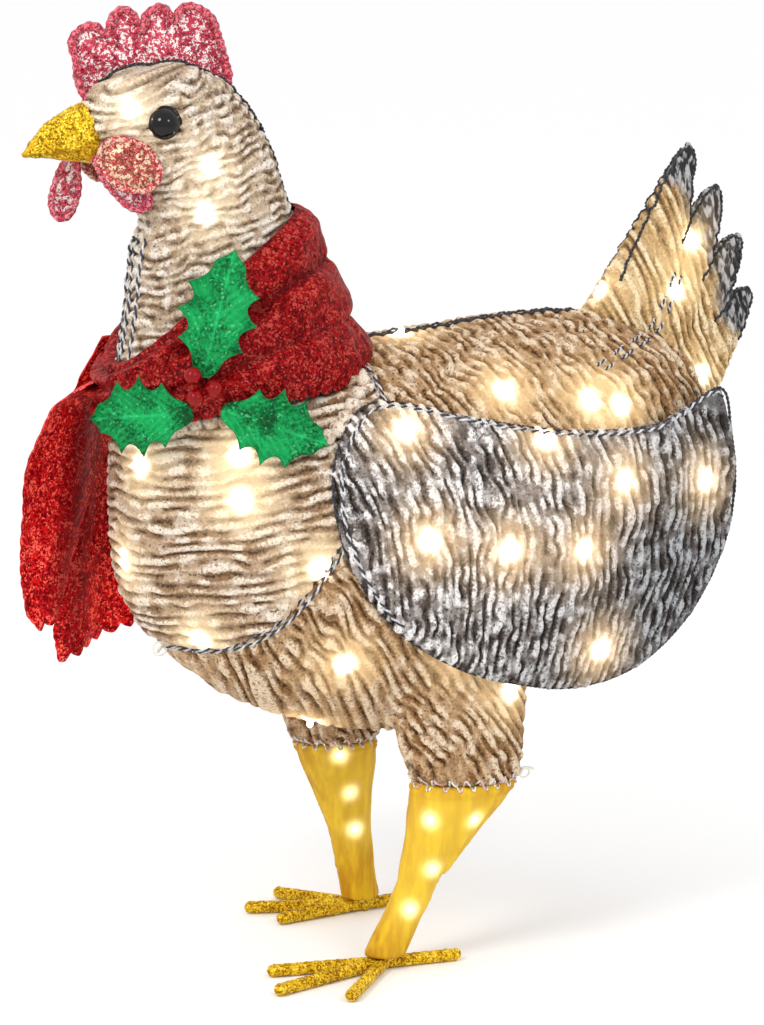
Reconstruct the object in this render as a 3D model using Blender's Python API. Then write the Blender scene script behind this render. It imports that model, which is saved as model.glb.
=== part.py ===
"""Lighted hen decoration: a standing wire-framed hen in wrapped fabric, with a scarf and holly.

The hen faces -Y, its left side is +X and it stands on z = 0. Sizes are in metres.
"""
import math

import bmesh
import bpy
from mathutils import Vector

# fit between touching pieces
GAP = 0.0003

# trunk: egg-shaped body, from the breast front back to the root of the tail
BODY_FRONT_Y = -0.201
BODY_LENGTH = 0.489
BODY_WIDTH = 0.252
BODY_DEPTH = 0.330
BELLY_HEIGHT = 0.180
BODY_ROUNDNESS = 2.3
# share of length, then top, bottom and half width as shares of depth and half width
BODY_STATIONS = (
    (0.000, 0.661, 0.506, 0.079),
    (0.003, 0.727, 0.442, 0.222),
    (0.012, 0.818, 0.370, 0.341),
    (0.037, 0.882, 0.297, 0.492),
    (0.084, 0.909, 0.209, 0.667),
    (0.153, 0.921, 0.124, 0.825),
    (0.247, 0.933, 0.061, 0.937),
    (0.350, 0.948, 0.018, 0.988),
    (0.462, 0.967, 0.000, 1.000),
    (0.554, 0.979, 0.030, 0.976),
    (0.636, 0.994, 0.103, 0.921),
    (0.718, 1.000, 0.200, 0.825),
    (0.810, 0.994, 0.324, 0.690),
    (0.902, 0.964, 0.470, 0.524),
    (0.963, 0.903, 0.582, 0.365),
    (1.000, 0.803, 0.682, 0.175),
)

# breast panel: stands proud of the trunk and ends at a seam behind and below
BREAST_PROUD = 0.004
# seam as shares of body length and depth, from the top down to the front
BREAST_SEAM = (
    (0.350, 1.212),
    (0.352, 1.006),
    (0.374, 0.845),
    (0.346, 0.703),
    (0.292, 0.555),
    (0.206, 0.373),
    (0.131, 0.288),
    (0.057, 0.261),
    (-0.121, 0.270),
)

# thighs: left one set back, right one set forward
THIGH_SPREAD = 0.080
THIGH_BOTTOM_HEIGHT = 0.152
THIGH_RISE = 0.150
LEFT_THIGH_Y = 0.057
RIGHT_THIGH_Y = 0.002
LEFT_THIGH_LENGTH = 0.090
RIGHT_THIGH_LENGTH = 0.074
THIGH_WIDTH = 0.068
# share of rise, forward shift as share of length, length and width as shares
THIGH_STATIONS = (
    (0.00, 0.00, 1.00, 1.00),
    (0.25, 0.10, 1.18, 1.04),
    (0.52, 0.22, 1.36, 0.96),
    (1.00, 0.26, 1.40, 0.80),
)

# shanks, from just above the feet up to the thighs
LEFT_ANKLE_Y = -0.012
RIGHT_ANKLE_Y = 0.026
ANKLE_LENGTH = 0.034
ANKLE_WIDTH = 0.028
# share of height, share of the way to the thigh, length and width as shares of the
# step from ankle to thigh
SHANK_STATIONS = (
    (0.00, 0.00, 0.00, 0.00),
    (0.20, 0.20, -0.02, 0.02),
    (0.42, 0.42, 0.02, 0.10),
    (0.68, 0.70, 0.45, 0.45),
    (0.86, 0.88, 0.80, 0.78),
    (1.00, 1.00, 0.97, 0.94),
)

# feet: four straight toes that lie flat
TOE_WIDTH = 0.011
FOOT_HEIGHT = 0.011
FOOT_EDGE = 0.003
FOOT_HEEL = 1.2
LEFT_FOOT_YAW = 22.0
RIGHT_FOOT_YAW = 14.0
LEFT_FOOT_SIZE = 1.0
RIGHT_FOOT_SIZE = 0.86
# angle off the foot's own heading, outward positive, then length
TOES = (
    (-27.0, 0.096),
    (0.0, 0.114),
    (32.0, 0.096),
    (158.0, 0.066),
)

# head and neck, from under the scarf up to the crown
NECK_BASE_HEIGHT = 0.450
NECK_HEIGHT = 0.270
NECK_FRONT_Y = -0.230
NECK_DEPTH = 0.240
NECK_WIDTH = 0.132
NECK_ROUNDNESS = 2.1
# share of height, then front, back and half width as shares of depth and half width
NECK_STATIONS = (
    (0.000, 0.104, 0.992, 1.000),
    (0.104, 0.108, 0.950, 0.970),
    (0.185, 0.125, 0.908, 0.924),
    (0.278, 0.142, 0.842, 0.864),
    (0.370, 0.154, 0.792, 0.803),
    (0.463, 0.167, 0.750, 0.758),
    (0.544, 0.198, 0.708, 0.735),
    (0.593, 0.190, 0.683, 0.720),
    (0.648, 0.142, 0.662, 0.712),
    (0.704, 0.075, 0.646, 0.705),
    (0.759, 0.029, 0.621, 0.697),
    (0.815, 0.004, 0.588, 0.682),
    (0.867, 0.000, 0.550, 0.636),
    (0.911, 0.013, 0.508, 0.561),
    (0.944, 0.046, 0.471, 0.470),
    (0.970, 0.096, 0.408, 0.364),
    (0.989, 0.167, 0.367, 0.212),
    (0.996, 0.217, 0.325, 0.076),
)

# comb: lobed plate with a wire rim, along the crown
COMB_LENGTH = 0.125
COMB_HEIGHT = 0.072
COMB_Y = -0.237
COMB_Z = 0.690
COMB_THICKNESS = 0.004
COMB_RIM = 0.0065
# shares of length and height, from the front foot round to the back foot
COMB_OUTLINE = (
    (0.150, 0.000),
    (0.020, 0.480),
    (0.008, 0.689),
    (0.088, 0.811),
    (0.168, 0.797),
    (0.224, 0.715),
    (0.264, 0.905),
    (0.328, 0.986),
    (0.400, 0.905),
    (0.448, 0.740),
    (0.480, 0.919),
    (0.560, 1.000),
    (0.616, 0.946),
    (0.656, 0.835),
    (0.696, 0.959),
    (0.768, 1.000),
    (0.864, 0.919),
    (0.936, 0.703),
    (0.950, 0.000),
)
COMB_CORNERS = (0, 5, 9, 13, 18)

# beak: short cone with a hooked top line
BEAK_TIP = (-0.279, 0.650)
BEAK_ROOT = (-0.216, 0.669)
BEAK_DEPTH = 0.052
BEAK_WIDTH = 0.042
BEAK_ROUNDNESS = 2.2
# share of length, droop and depth as shares of depth
BEAK_STATIONS = (
    (0.00, 0.00, 1.00),
    (0.18, 0.02, 0.93),
    (0.40, 0.06, 0.76),
    (0.62, 0.08, 0.54),
    (0.82, 0.05, 0.28),
    (0.94, 0.02, 0.12),
    (1.00, 0.00, 0.04),
)

# eyes
EYE_DIAMETER = 0.026
EYE_Y = -0.176
EYE_Z = 0.676
EYE_X = 0.0395

# cheek patches and wattles: flat shapes with a wire rim
PATCH_RIM = 0.006
PATCH_THICKNESS = 0.0035
CHEEK_LENGTH = 0.052
CHEEK_HEIGHT = 0.048
CHEEK_CENTRE = (0.0375, -0.203, 0.642)
CHEEK_ALONG = (0.30, 0.80, -0.50)
CHEEK_FACE = (0.92, -0.38, 0.02)
LEFT_WATTLE_LENGTH = 0.060
RIGHT_WATTLE_LENGTH = 0.058
WATTLE_WIDTH = 0.030
LEFT_WATTLE_TOP = (0.020, -0.227, 0.651)
LEFT_WATTLE_ALONG = (0.20, 0.71, -0.71)
LEFT_WATTLE_FACE = (0.93, -0.33, 0.0)
RIGHT_WATTLE_TOP = (-0.014, -0.2325, 0.6535)
RIGHT_WATTLE_ALONG = (-0.10, -0.18, -0.97)
RIGHT_WATTLE_FACE = (0.97, -0.20, 0.0)

# tail: four feather forms that fan out, named by tip and root in side view
FEATHER_TIPS = ((0.281, 0.641), (0.306, 0.606), (0.325, 0.565), (0.335, 0.520))
FEATHER_ROOTS = ((0.208, 0.430), (0.224, 0.424), (0.235, 0.414), (0.240, 0.402))
FEATHER_WIDTH = 0.054
FEATHER_ROOT_THICKNESS = 0.090
FEATHER_TIP_THICKNESS = 0.012
# share of length, width share, thickness share between root and tip
FRONT_FEATHER_STATIONS = (
    (0.00, 1.70, 0.00),
    (0.25, 1.80, 0.18),
    (0.38, 1.42, 0.32),
    (0.54, 1.08, 0.50),
    (0.74, 0.68, 0.74),
    (0.87, 0.46, 0.89),
    (0.95, 0.30, 0.97),
    (1.00, 0.10, 1.00),
)
FEATHER_STATIONS = (
    (0.00, 1.00, 0.00),
    (0.25, 1.05, 0.18),
    (0.50, 1.00, 0.46),
    (0.72, 0.72, 0.72),
    (0.86, 0.52, 0.88),
    (0.95, 0.32, 0.97),
    (1.00, 0.10, 1.00),
)

# wings: D-shaped padded plates on the flanks, free behind and below
WING_FRONT_Y = -0.069
WING_LENGTH = 0.363
WING_LOW_Z = 0.225
WING_HEIGHT = 0.237
WING_THICKNESS = 0.022
WING_EDGE_THICKNESS = 0.010
WING_OFFSET = 0.004
# the wing bows in toward the hen, away from its widest spot, by these radii
WING_BOW_Y = 0.030
WING_BOW_Z = 0.360
WING_BOW_BACK = 0.555
WING_BOW_FORE = 0.833
WING_BOW_ABOVE = 0.167
WING_BOW_BELOW = 1.000
# shares of length and height, from the top front corner round to the front
WING_OUTLINE = (
    (0.123, 1.000),
    (0.342, 0.929),
    (0.539, 0.873),
    (0.708, 0.854),
    (0.825, 0.866),
    (0.985, 0.943),
    (1.000, 0.794),
    (1.000, 0.599),
    (0.964, 0.397),
    (0.870, 0.188),
    (0.733, 0.044),
    (0.579, 0.000),
    (0.435, 0.033),
    (0.286, 0.109),
    (0.136, 0.263),
    (0.037, 0.481),
    (0.000, 0.709),
    (0.029, 0.888),
)
WING_CORNERS = (5,)

# scarf: wound round the foot of the neck in three rolls
WRAP_TOP_CENTRE_Y = -0.129
WRAP_TOP_DEPTH = 0.142
WRAP_TOP_WIDTH = 0.116
WRAP_LOW_CENTRE_Y = -0.109
WRAP_LOW_DEPTH = 0.208
WRAP_LOW_WIDTH = 0.190
WRAP_TOP_HEIGHT = 0.553
WRAP_LOW_HEIGHT = 0.459
WRAP_TOP_SLOPE = 0.059
WRAP_LOW_SLOPE = 0.0155
WRAP_TOP_DIP = 0.006
WRAP_LOW_DIP = 0.004
WRAP_BULGE = 0.013
WRAP_ROLL = 0.006
WRAP_ROLLS = 3
KNOT_CENTRE = (0.067, -0.162, 0.469)
KNOT_RADIUS = 0.021

# scarf tails: front edge, rear edge and thickness of the hanging cloth
SCARF_TAIL_THICKNESS = 0.011
SCARF_FOLD = 0.005
OUTER_TAIL = (
    (0.006, -0.204, 0.480, -0.052, -0.186, 0.480),
    (-0.008, -0.228, 0.468, -0.074, -0.190, 0.462),
    (-0.024, -0.250, 0.450, -0.096, -0.178, 0.440),
    (-0.033, -0.266, 0.415, -0.108, -0.166, 0.405),
    (-0.036, -0.272, 0.375, -0.114, -0.160, 0.380),
    (-0.037, -0.275, 0.340, -0.113, -0.164, 0.358),
    (-0.037, -0.275, 0.308, -0.106, -0.176, 0.340),
    (-0.040, -0.268, 0.282, -0.092, -0.198, 0.318),
    (-0.046, -0.258, 0.274, -0.076, -0.220, 0.296),
)
INNER_TAIL = (
    (-0.056, -0.200, 0.500, -0.086, -0.150, 0.500),
    (-0.066, -0.228, 0.440, -0.116, -0.150, 0.440),
    (-0.070, -0.238, 0.380, -0.124, -0.150, 0.380),
    (-0.070, -0.241, 0.320, -0.124, -0.152, 0.325),
    (-0.068, -0.240, 0.270, -0.114, -0.154, 0.287),
    (-0.066, -0.238, 0.243, -0.106, -0.158, 0.264),
)

# holly: three spiny leaves and three berries on the near side of the scarf
LEAF_THICKNESS = 0.003
LEAF_RIB = 0.002
LEAF_SPINES = 4
LEAF_SPINE_DEPTH = 0.30
LEAF_CURL = 0.10
LEAF_CUP = 0.10
LEAF_ROWS = 18
TOP_LEAF_LENGTH = 0.100
TOP_LEAF_WIDTH = 0.064
TOP_LEAF_BASE = (0.085, -0.160, 0.488)
TOP_LEAF_ALONG = (0.00, 0.25, 0.97)
TOP_LEAF_FACE = (0.90, -0.40, 0.10)
SIDE_LEAF_LENGTH = 0.086
SIDE_LEAF_WIDTH = 0.062
FRONT_LEAF_BASE = (0.088, -0.168, 0.460)
FRONT_LEAF_ALONG = (-0.60, -0.80, -0.10)
FRONT_LEAF_FACE = (0.78, -0.62, 0.12)
REAR_LEAF_BASE = (0.091, -0.148, 0.462)
REAR_LEAF_ALONG = (0.30, 0.90, -0.32)
REAR_LEAF_FACE = (0.93, -0.34, 0.12)
BERRY_DIAMETER = 0.0135
BERRY_CENTRES = (
    (0.0905, -0.1704, 0.4896),
    (0.0945, -0.1550, 0.4793),
    (0.0915, -0.1685, 0.4727),
)

# facets
BODY_SIDES = 24
BODY_STEPS = 18
THIGH_SIDES = 16
NECK_SIDES = 20
NECK_STEPS = 14
LIMB_SIDES = 12
PATCH_SIDES = 18
WRAP_TURNS = 26
WRAP_FACETS = 9
TAIL_STEPS = 5


def clear_scene():
    for item in list(bpy.data.objects):
        bpy.data.objects.remove(item, do_unlink=True)


def material(obj, name, colour, roughness, metallic=0.0):
    made = bpy.data.materials.get(name) or bpy.data.materials.new(name)
    made.use_nodes = True
    shader = made.node_tree.nodes["Principled BSDF"]
    shader.inputs["Base Color"].default_value = (*colour, 1.0)
    shader.inputs["Roughness"].default_value = roughness
    shader.inputs["Metallic"].default_value = metallic
    obj.data.materials.clear()
    obj.data.materials.append(made)


def wrapped_fabric(obj):
    material(obj, "wrapped_fabric", (0.62, 0.47, 0.30), 0.85)


def cream_fabric(obj):
    material(obj, "cream_fabric", (0.80, 0.68, 0.50), 0.85)


def grey_fabric(obj):
    material(obj, "grey_fabric", (0.36, 0.34, 0.33), 0.85)


def comb_mesh(obj):
    material(obj, "comb_mesh", (0.55, 0.05, 0.10), 0.55)


def wattle_mesh(obj):
    material(obj, "wattle_mesh", (0.66, 0.12, 0.17), 0.55)


def beak_fabric(obj):
    material(obj, "beak_fabric", (0.72, 0.50, 0.08), 0.60)


def eye_bead(obj):
    material(obj, "eye_bead", (0.012, 0.012, 0.013), 0.08)


def scarf_cloth(obj):
    material(obj, "scarf_cloth", (0.45, 0.012, 0.016), 0.60)


def leaf_foil(obj):
    material(obj, "leaf_foil", (0.015, 0.26, 0.085), 0.38, 0.3)


def berry_gloss(obj):
    material(obj, "berry_gloss", (0.42, 0.008, 0.012), 0.12)


def shank_fabric(obj):
    material(obj, "shank_fabric", (0.86, 0.52, 0.06), 0.70)


def foot_glitter(obj):
    material(obj, "foot_glitter", (0.62, 0.40, 0.08), 0.45, 0.4)


def add_object(name, verts, faces):
    mesh = bpy.data.meshes.new(name)
    mesh.from_pydata([tuple(v) for v in verts], [], faces)
    shape = bmesh.new()
    shape.from_mesh(mesh)
    bmesh.ops.recalc_face_normals(shape, faces=shape.faces)
    shape.to_mesh(mesh)
    shape.free()
    obj = bpy.data.objects.new(name, mesh)
    bpy.context.scene.collection.objects.link(obj)
    return obj


def loft(name, rings, flat_strip=False):
    """One closed skin through rings of equal count.

    The ends are closed by fans, or for a flat strip by quads between its two faces.
    """
    count = len(rings[0])
    verts = [point for ring in rings for point in ring]
    faces = []
    for r in range(len(rings) - 1):
        low = r * count
        high = low + count
        for i in range(count):
            j = (i + 1) % count
            faces.append((low + i, low + j, high + j, high + i))
    for start, ring in ((0, rings[0]), ((len(rings) - 1) * count, rings[-1])):
        if flat_strip:
            for i in range(count // 2 - 1):
                mate = start + count - 1 - i
                faces.append((start + i, start + i + 1, mate - 1, mate))
            continue
        verts.append(sum((Vector(point) for point in ring), Vector()) / count)
        for i in range(count):
            faces.append((start + i, start + (i + 1) % count, len(verts) - 1))
    return add_object(name, verts, faces)


def row_at(table, key):
    """Smooth row between the stations of a table, by its first column."""
    last = len(table) - 1
    i = 0
    while i < last - 1 and table[i + 1][0] < key:
        i += 1
    before = table[max(i - 1, 0)]
    here = table[i]
    after = table[i + 1]
    beyond = table[min(i + 2, last)]
    span = after[0] - here[0]
    t = (key - here[0]) / span
    row = []
    for c in range(1, len(here)):
        slope_in = (after[c] - before[c]) / (after[0] - before[0]) * span
        slope_out = (beyond[c] - here[c]) / (beyond[0] - here[0]) * span
        t2 = t * t
        t3 = t2 * t
        value = (2 * t3 - 3 * t2 + 1) * here[c] + (t3 - 2 * t2 + t) * slope_in
        row.append(value + (3 * t2 - 2 * t3) * after[c] + (t3 - t2) * slope_out)
    return row


def stations(table, steps):
    """Keys at every station and evenly between stations, by the widest steps allowed."""
    keys = []
    for here, after in zip(table, table[1:]):
        count = max(1, round((after[0] - here[0]) * steps))
        keys += [here[0] + (after[0] - here[0]) * i / count for i in range(count)]
    return keys + [table[-1][0]]


def round_outline(points, corners, steps):
    """Closed smooth outline through points, sharp at the listed corners."""
    count = len(points)
    path = []
    for i in range(count):
        here = Vector(points[i])
        after = Vector(points[(i + 1) % count])
        slope_in = (after - Vector(points[i - 1])) / 2
        slope_out = (Vector(points[(i + 2) % count]) - here) / 2
        if i in corners:
            slope_in = after - here
        if (i + 1) % count in corners:
            slope_out = after - here
        for k in range(steps):
            t = k / steps
            t2 = t * t
            t3 = t2 * t
            spot = here * (2 * t3 - 3 * t2 + 1) + slope_in * (t3 - 2 * t2 + t)
            path.append(spot + after * (3 * t2 - 2 * t3) + slope_out * (t3 - t2))
    return path


def oval(centre, along, across, sides, power=2.0):
    """Ring of points on a superellipse with the two given half axes."""
    ring = []
    for i in range(sides):
        angle = 2 * math.pi * i / sides
        c = math.cos(angle)
        s = math.sin(angle)
        u = math.copysign(abs(c) ** (2 / power), c)
        v = math.copysign(abs(s) ** (2 / power), s)
        ring.append(Vector(centre) + Vector(along) * u + Vector(across) * v)
    return ring


def grow(obj, distance):
    """Move every face outward by about the given distance."""
    shape = bmesh.new()
    shape.from_mesh(obj.data)
    shape.normal_update()
    moves = [v.normal * distance * v.calc_shell_factor() for v in shape.verts]
    for vert, move in zip(shape.verts, moves):
        vert.co += move
    shape.to_mesh(obj.data)
    shape.free()


def copy_of(obj, distance=0.0):
    twin = bpy.data.objects.new(obj.name + "_copy", obj.data.copy())
    bpy.context.scene.collection.objects.link(twin)
    if distance:
        grow(twin, distance)
    return twin


def combine(target, tool, operation):
    """Apply one exact Boolean and drop the tool."""
    tool.hide_render = True
    tool.display_type = "WIRE"
    step = target.modifiers.new(operation, "BOOLEAN")
    step.operation = operation
    step.solver = "EXACT"
    step.object = tool
    graph = bpy.context.evaluated_depsgraph_get()
    mesh = bpy.data.meshes.new_from_object(target.evaluated_get(graph))
    target.modifiers.clear()
    target.data = mesh
    bpy.data.objects.remove(tool, do_unlink=True)


def clear_of(target, forms, gap=GAP):
    """Cut the target back so that it clears each whole form by the gap."""
    for form in forms:
        combine(target, copy_of(form, gap), "DIFFERENCE")


def keep_largest(obj):
    """Drop crumbs that a cut may leave beside the main body."""
    shape = bmesh.new()
    shape.from_mesh(obj.data)
    left = set(shape.verts)
    bodies = []
    while left:
        queue = [left.pop()]
        body = set(queue)
        while queue:
            for edge in queue.pop().link_edges:
                for vert in edge.verts:
                    if vert in left:
                        left.remove(vert)
                        body.add(vert)
                        queue.append(vert)
        bodies.append(body)
    bodies.sort(key=len)
    for body in bodies[:-1]:
        bmesh.ops.delete(shape, geom=list(body), context="VERTS")
    shape.to_mesh(obj.data)
    shape.free()


def finish(obj, angle=35.0):
    """Split every face into triangles and shade smooth with sharp edges past the angle."""
    keep_largest(obj)
    shape = bmesh.new()
    shape.from_mesh(obj.data)
    bmesh.ops.triangulate(shape, faces=[f for f in shape.faces if len(f.verts) > 3])
    bmesh.ops.recalc_face_normals(shape, faces=shape.faces)
    shape.to_mesh(obj.data)
    shape.free()
    obj.data.polygons.foreach_set("use_smooth", [True] * len(obj.data.polygons))
    obj.data.set_sharp_from_angle(angle=math.radians(angle))


def body_row(key):
    """Y, top, bottom and half width of the body at a share of its length."""
    top, low, half = row_at(BODY_STATIONS, key)
    y = BODY_FRONT_Y + key * BODY_LENGTH
    return (
        y,
        BELLY_HEIGHT + top * BODY_DEPTH,
        BELLY_HEIGHT + low * BODY_DEPTH,
        half * BODY_WIDTH / 2,
    )


def body_form(name):
    rings = []
    for key in stations(BODY_STATIONS, BODY_STEPS):
        y, top, low, half = body_row(key)
        centre = (0, y, (top + low) / 2)
        rings.append(oval(centre, (half, 0, 0), (0, 0, (top - low) / 2), BODY_SIDES, BODY_ROUNDNESS))
    return loft(name, rings)


def seam_block(name, back_off):
    """Block in front of the breast seam, moved forward by the given distance."""
    outline = round_outline(BREAST_SEAM, (0, len(BREAST_SEAM) - 1), 3)
    outline = outline[:(len(BREAST_SEAM) - 1) * 3 + 1]
    side = [(BODY_FRONT_Y + t * BODY_LENGTH, BELLY_HEIGHT + s * BODY_DEPTH) for t, s in outline]
    moved = []
    for i, spot in enumerate(side):
        before = Vector(side[max(i - 1, 0)])
        after = Vector(side[min(i + 1, len(side) - 1)])
        run = (after - before).normalized()
        moved.append(Vector(spot) + Vector((run.y, -run.x)) * back_off)
    corner = Vector((moved[-1].x, moved[0].y))
    profile = moved + [corner]
    rings = [[(x, p.x, p.y) for p in profile] for x in (-BODY_WIDTH, BODY_WIDTH)]
    count = len(profile)
    verts = rings[0] + rings[1]
    faces = [(i, (i + 1) % count, count + (i + 1) % count, count + i) for i in range(count)]
    faces.append(tuple(range(count)))
    faces.append(tuple(range(count, 2 * count)))
    return add_object(name, verts, faces)


def thigh(name, side, centre_y, length):
    rings = []
    for share, shift, long, wide in THIGH_STATIONS:
        centre = (
            side * THIGH_SPREAD,
            centre_y - shift * length / 2,
            THIGH_BOTTOM_HEIGHT + share * THIGH_RISE,
        )
        along = (0, long * length / 2, 0)
        across = (wide * THIGH_WIDTH / 2, 0, 0)
        rings.append(oval(centre, across, along, THIGH_SIDES))
    return loft(name, rings)


def make_trunk(forms):
    trunk = copy_of(forms["body"])
    combine(trunk, seam_block("front", 0.0), "DIFFERENCE")
    combine(trunk, copy_of(forms["left_thigh"]), "UNION")
    combine(trunk, copy_of(forms["right_thigh"]), "UNION")
    return trunk


def make_breast(forms):
    breast = copy_of(forms["body"], BREAST_PROUD)
    combine(breast, seam_block("front", GAP), "INTERSECT")
    return breast


def breast_zone(forms):
    """The breast and its gap, as a shape to cut others with."""
    zone = copy_of(forms["body"], BREAST_PROUD + GAP)
    combine(zone, seam_block("front", 0.0), "INTERSECT")
    return zone


def neck_row(share):
    """Height, front, back and half width of the neck at a share of its height."""
    front, back, half = row_at(NECK_STATIONS, share)
    return (
        NECK_BASE_HEIGHT + share * NECK_HEIGHT,
        NECK_FRONT_Y + front * NECK_DEPTH,
        NECK_FRONT_Y + back * NECK_DEPTH,
        half * NECK_WIDTH / 2,
    )


def neck_form(name):
    rings = []
    for share in stations(NECK_STATIONS, NECK_STEPS):
        z, front, back, half = neck_row(share)
        centre = (0, (front + back) / 2, z)
        rings.append(oval(centre, (half, 0, 0), (0, (back - front) / 2, 0), NECK_SIDES,
                          NECK_ROUNDNESS))
    return loft(name, rings)


def make_head_and_neck(forms):
    head = copy_of(forms["neck"])
    clear_of(head, [forms["body"]], BREAST_PROUD + GAP)
    return head


def rimmed_plate(name, outline, web, rim, place, heart=None):
    """Flat shape with a rounded rim; place turns (u, v, w) into a point.

    The rim runs in square to the outline, or toward the heart point if one is given.
    """
    count = len(outline)
    profile = ((0.0, 0.0), (0.35, 0.5), (1.1, web / rim / 2))
    inward = []
    for i in range(count):
        run = (outline[(i + 1) % count] - outline[i - 1]).normalized()
        inward.append(Vector((-run.y, run.x)))
    area = sum(outline[i - 1].cross(outline[i]) for i in range(count))
    if area < 0:
        inward = [-step for step in inward]
    if heart is not None:
        inward = [(heart - p).normalized() for p in outline]
    loops = [[(p + step * rim * depth, rise * rim) for p, step in zip(outline, inward)]
             for depth, rise in profile]
    verts = [place(p.x, p.y, 0.0) for p, rise in loops[0]]
    faces = []
    for sign in (1, -1):
        start = [0] + [len(verts) + count * k for k in range(len(loops) - 1)]
        for loop in loops[1:]:
            verts += [place(p.x, p.y, sign * rise) for p, rise in loop]
        for low, high in zip(start, start[1:]):
            for i in range(count):
                j = (i + 1) % count
                faces.append((low + i, low + j, high + j, high + i))
        faces.append(tuple(range(start[-1], start[-1] + count)))
    return add_object(name, verts, faces)


def make_comb(forms):
    points = [(COMB_Y + t * COMB_LENGTH, COMB_Z + s * COMB_HEIGHT) for t, s in COMB_OUTLINE]
    outline = round_outline(points, COMB_CORNERS, 2)
    comb = rimmed_plate("comb", outline, COMB_THICKNESS, COMB_RIM, lambda u, v, w: (w, u, v))
    clear_of(comb, [forms["neck"]])
    return comb


def beak_form(name):
    root = Vector((0, BEAK_ROOT[0], BEAK_ROOT[1]))
    tip = Vector((0, BEAK_TIP[0], BEAK_TIP[1]))
    run = tip - root
    up = Vector((0, run.z, -run.y)).normalized()
    rings = []
    for share, droop, depth in BEAK_STATIONS:
        centre = root + run * share + up * droop * BEAK_DEPTH
        across = (BEAK_WIDTH / 2 * depth, 0, 0)
        rings.append(oval(centre, across, up * BEAK_DEPTH / 2 * depth, LIMB_SIDES,
                          BEAK_ROUNDNESS))
    return loft(name, rings)


def make_beak(forms):
    beak = copy_of(forms["beak"])
    clear_of(beak, [forms["neck"]])
    return beak


def make_eye(side, forms):
    eye = ball("eye", (side * EYE_X, EYE_Y, EYE_Z), EYE_DIAMETER / 2, 14, 8)
    clear_of(eye, [forms["neck"]])
    return eye


def ball(name, centre, radius, sides, bands):
    rings = []
    for i in range(1, bands):
        angle = math.pi * i / bands
        level = Vector(centre) + Vector((0, 0, -radius * math.cos(angle)))
        flat = radius * math.sin(angle)
        rings.append(oval(level, (flat, 0, 0), (0, flat, 0), sides))
    obj = loft(name, rings)
    obj.data.vertices[-2].co.z = centre[2] - radius
    obj.data.vertices[-1].co.z = centre[2] + radius
    return obj


def plane_frame(origin, along, normal):
    """Function that places (u along, v across, w off the face) at the origin."""
    u_axis = Vector(along).normalized()
    w_axis = (Vector(normal) - u_axis * Vector(normal).dot(u_axis)).normalized()
    v_axis = w_axis.cross(u_axis)
    return lambda u, v, w: Vector(origin) + u_axis * u + v_axis * v + w_axis * w


def mirror(point, side):
    return (side * point[0], point[1], point[2])


def cheek_form(name, side):
    outline = []
    for i in range(PATCH_SIDES):
        angle = 2 * math.pi * i / PATCH_SIDES
        outline.append(Vector((
            CHEEK_LENGTH / 2 * math.cos(angle),
            CHEEK_HEIGHT / 2 * math.sin(angle),
        )))
    place = plane_frame(mirror(CHEEK_CENTRE, side), mirror(CHEEK_ALONG, side), mirror(CHEEK_FACE, side))
    return rimmed_plate(name, outline, PATCH_THICKNESS, PATCH_RIM, place, Vector((0, 0)))


def make_cheek(form, forms):
    cheek = copy_of(form)
    clear_of(cheek, [forms["neck"], forms["beak"]])
    return cheek


def wattle_outline(length):
    """Teardrop that hangs along +u from its narrow top."""
    outline = []
    for i in range(PATCH_SIDES):
        angle = 2 * math.pi * i / PATCH_SIDES
        share = (1 - math.cos(angle)) / 2
        swell = 0.40 + 0.60 * share ** 0.8
        outline.append(Vector((share * length, math.sin(angle) * WATTLE_WIDTH / 2 * swell)))
    return outline


def make_wattle(top, length, along, normal, others):
    place = plane_frame(top, along, normal)
    outline = wattle_outline(length)
    heart = Vector((length / 2, 0))
    wattle = rimmed_plate("wattle", outline, PATCH_THICKNESS, PATCH_RIM, place, heart)
    clear_of(wattle, others)
    return wattle


def feather(tip, root, table):
    start = Vector((0, root[0], root[1]))
    end = Vector((0, tip[0], tip[1]))
    run = end - start
    side = Vector((0, run.z, -run.y)).normalized()
    rings = []
    for share, width, thin in table:
        thick = FEATHER_ROOT_THICKNESS + (FEATHER_TIP_THICKNESS - FEATHER_ROOT_THICKNESS) * thin
        across = (thick / 2 * min(1.0, width + 0.35), 0, 0)
        rings.append(oval(start + run * share, across, side * width * FEATHER_WIDTH / 2, LIMB_SIDES))
    return loft("feather", rings)


def make_tail(forms):
    tail = feather(FEATHER_TIPS[0], FEATHER_ROOTS[0], FRONT_FEATHER_STATIONS)
    for tip, root in zip(FEATHER_TIPS[1:], FEATHER_ROOTS[1:]):
        combine(tail, feather(tip, root, FEATHER_STATIONS), "UNION")
    clear_of(tail, [forms["body"]])
    return tail


def wing_middle(y, z):
    """Distance of the wing's middle surface from the hen's midplane."""
    back = max(0.0, y - WING_BOW_Y)
    fore = max(0.0, WING_BOW_Y - y)
    above = max(0.0, z - WING_BOW_Z)
    below = max(0.0, WING_BOW_Z - z)
    inward = back ** 2 / WING_BOW_BACK + fore ** 2 / WING_BOW_FORE
    inward += above ** 2 / WING_BOW_ABOVE + below ** 2 / WING_BOW_BELOW
    return BODY_WIDTH / 2 + WING_OFFSET - inward / 2


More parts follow.
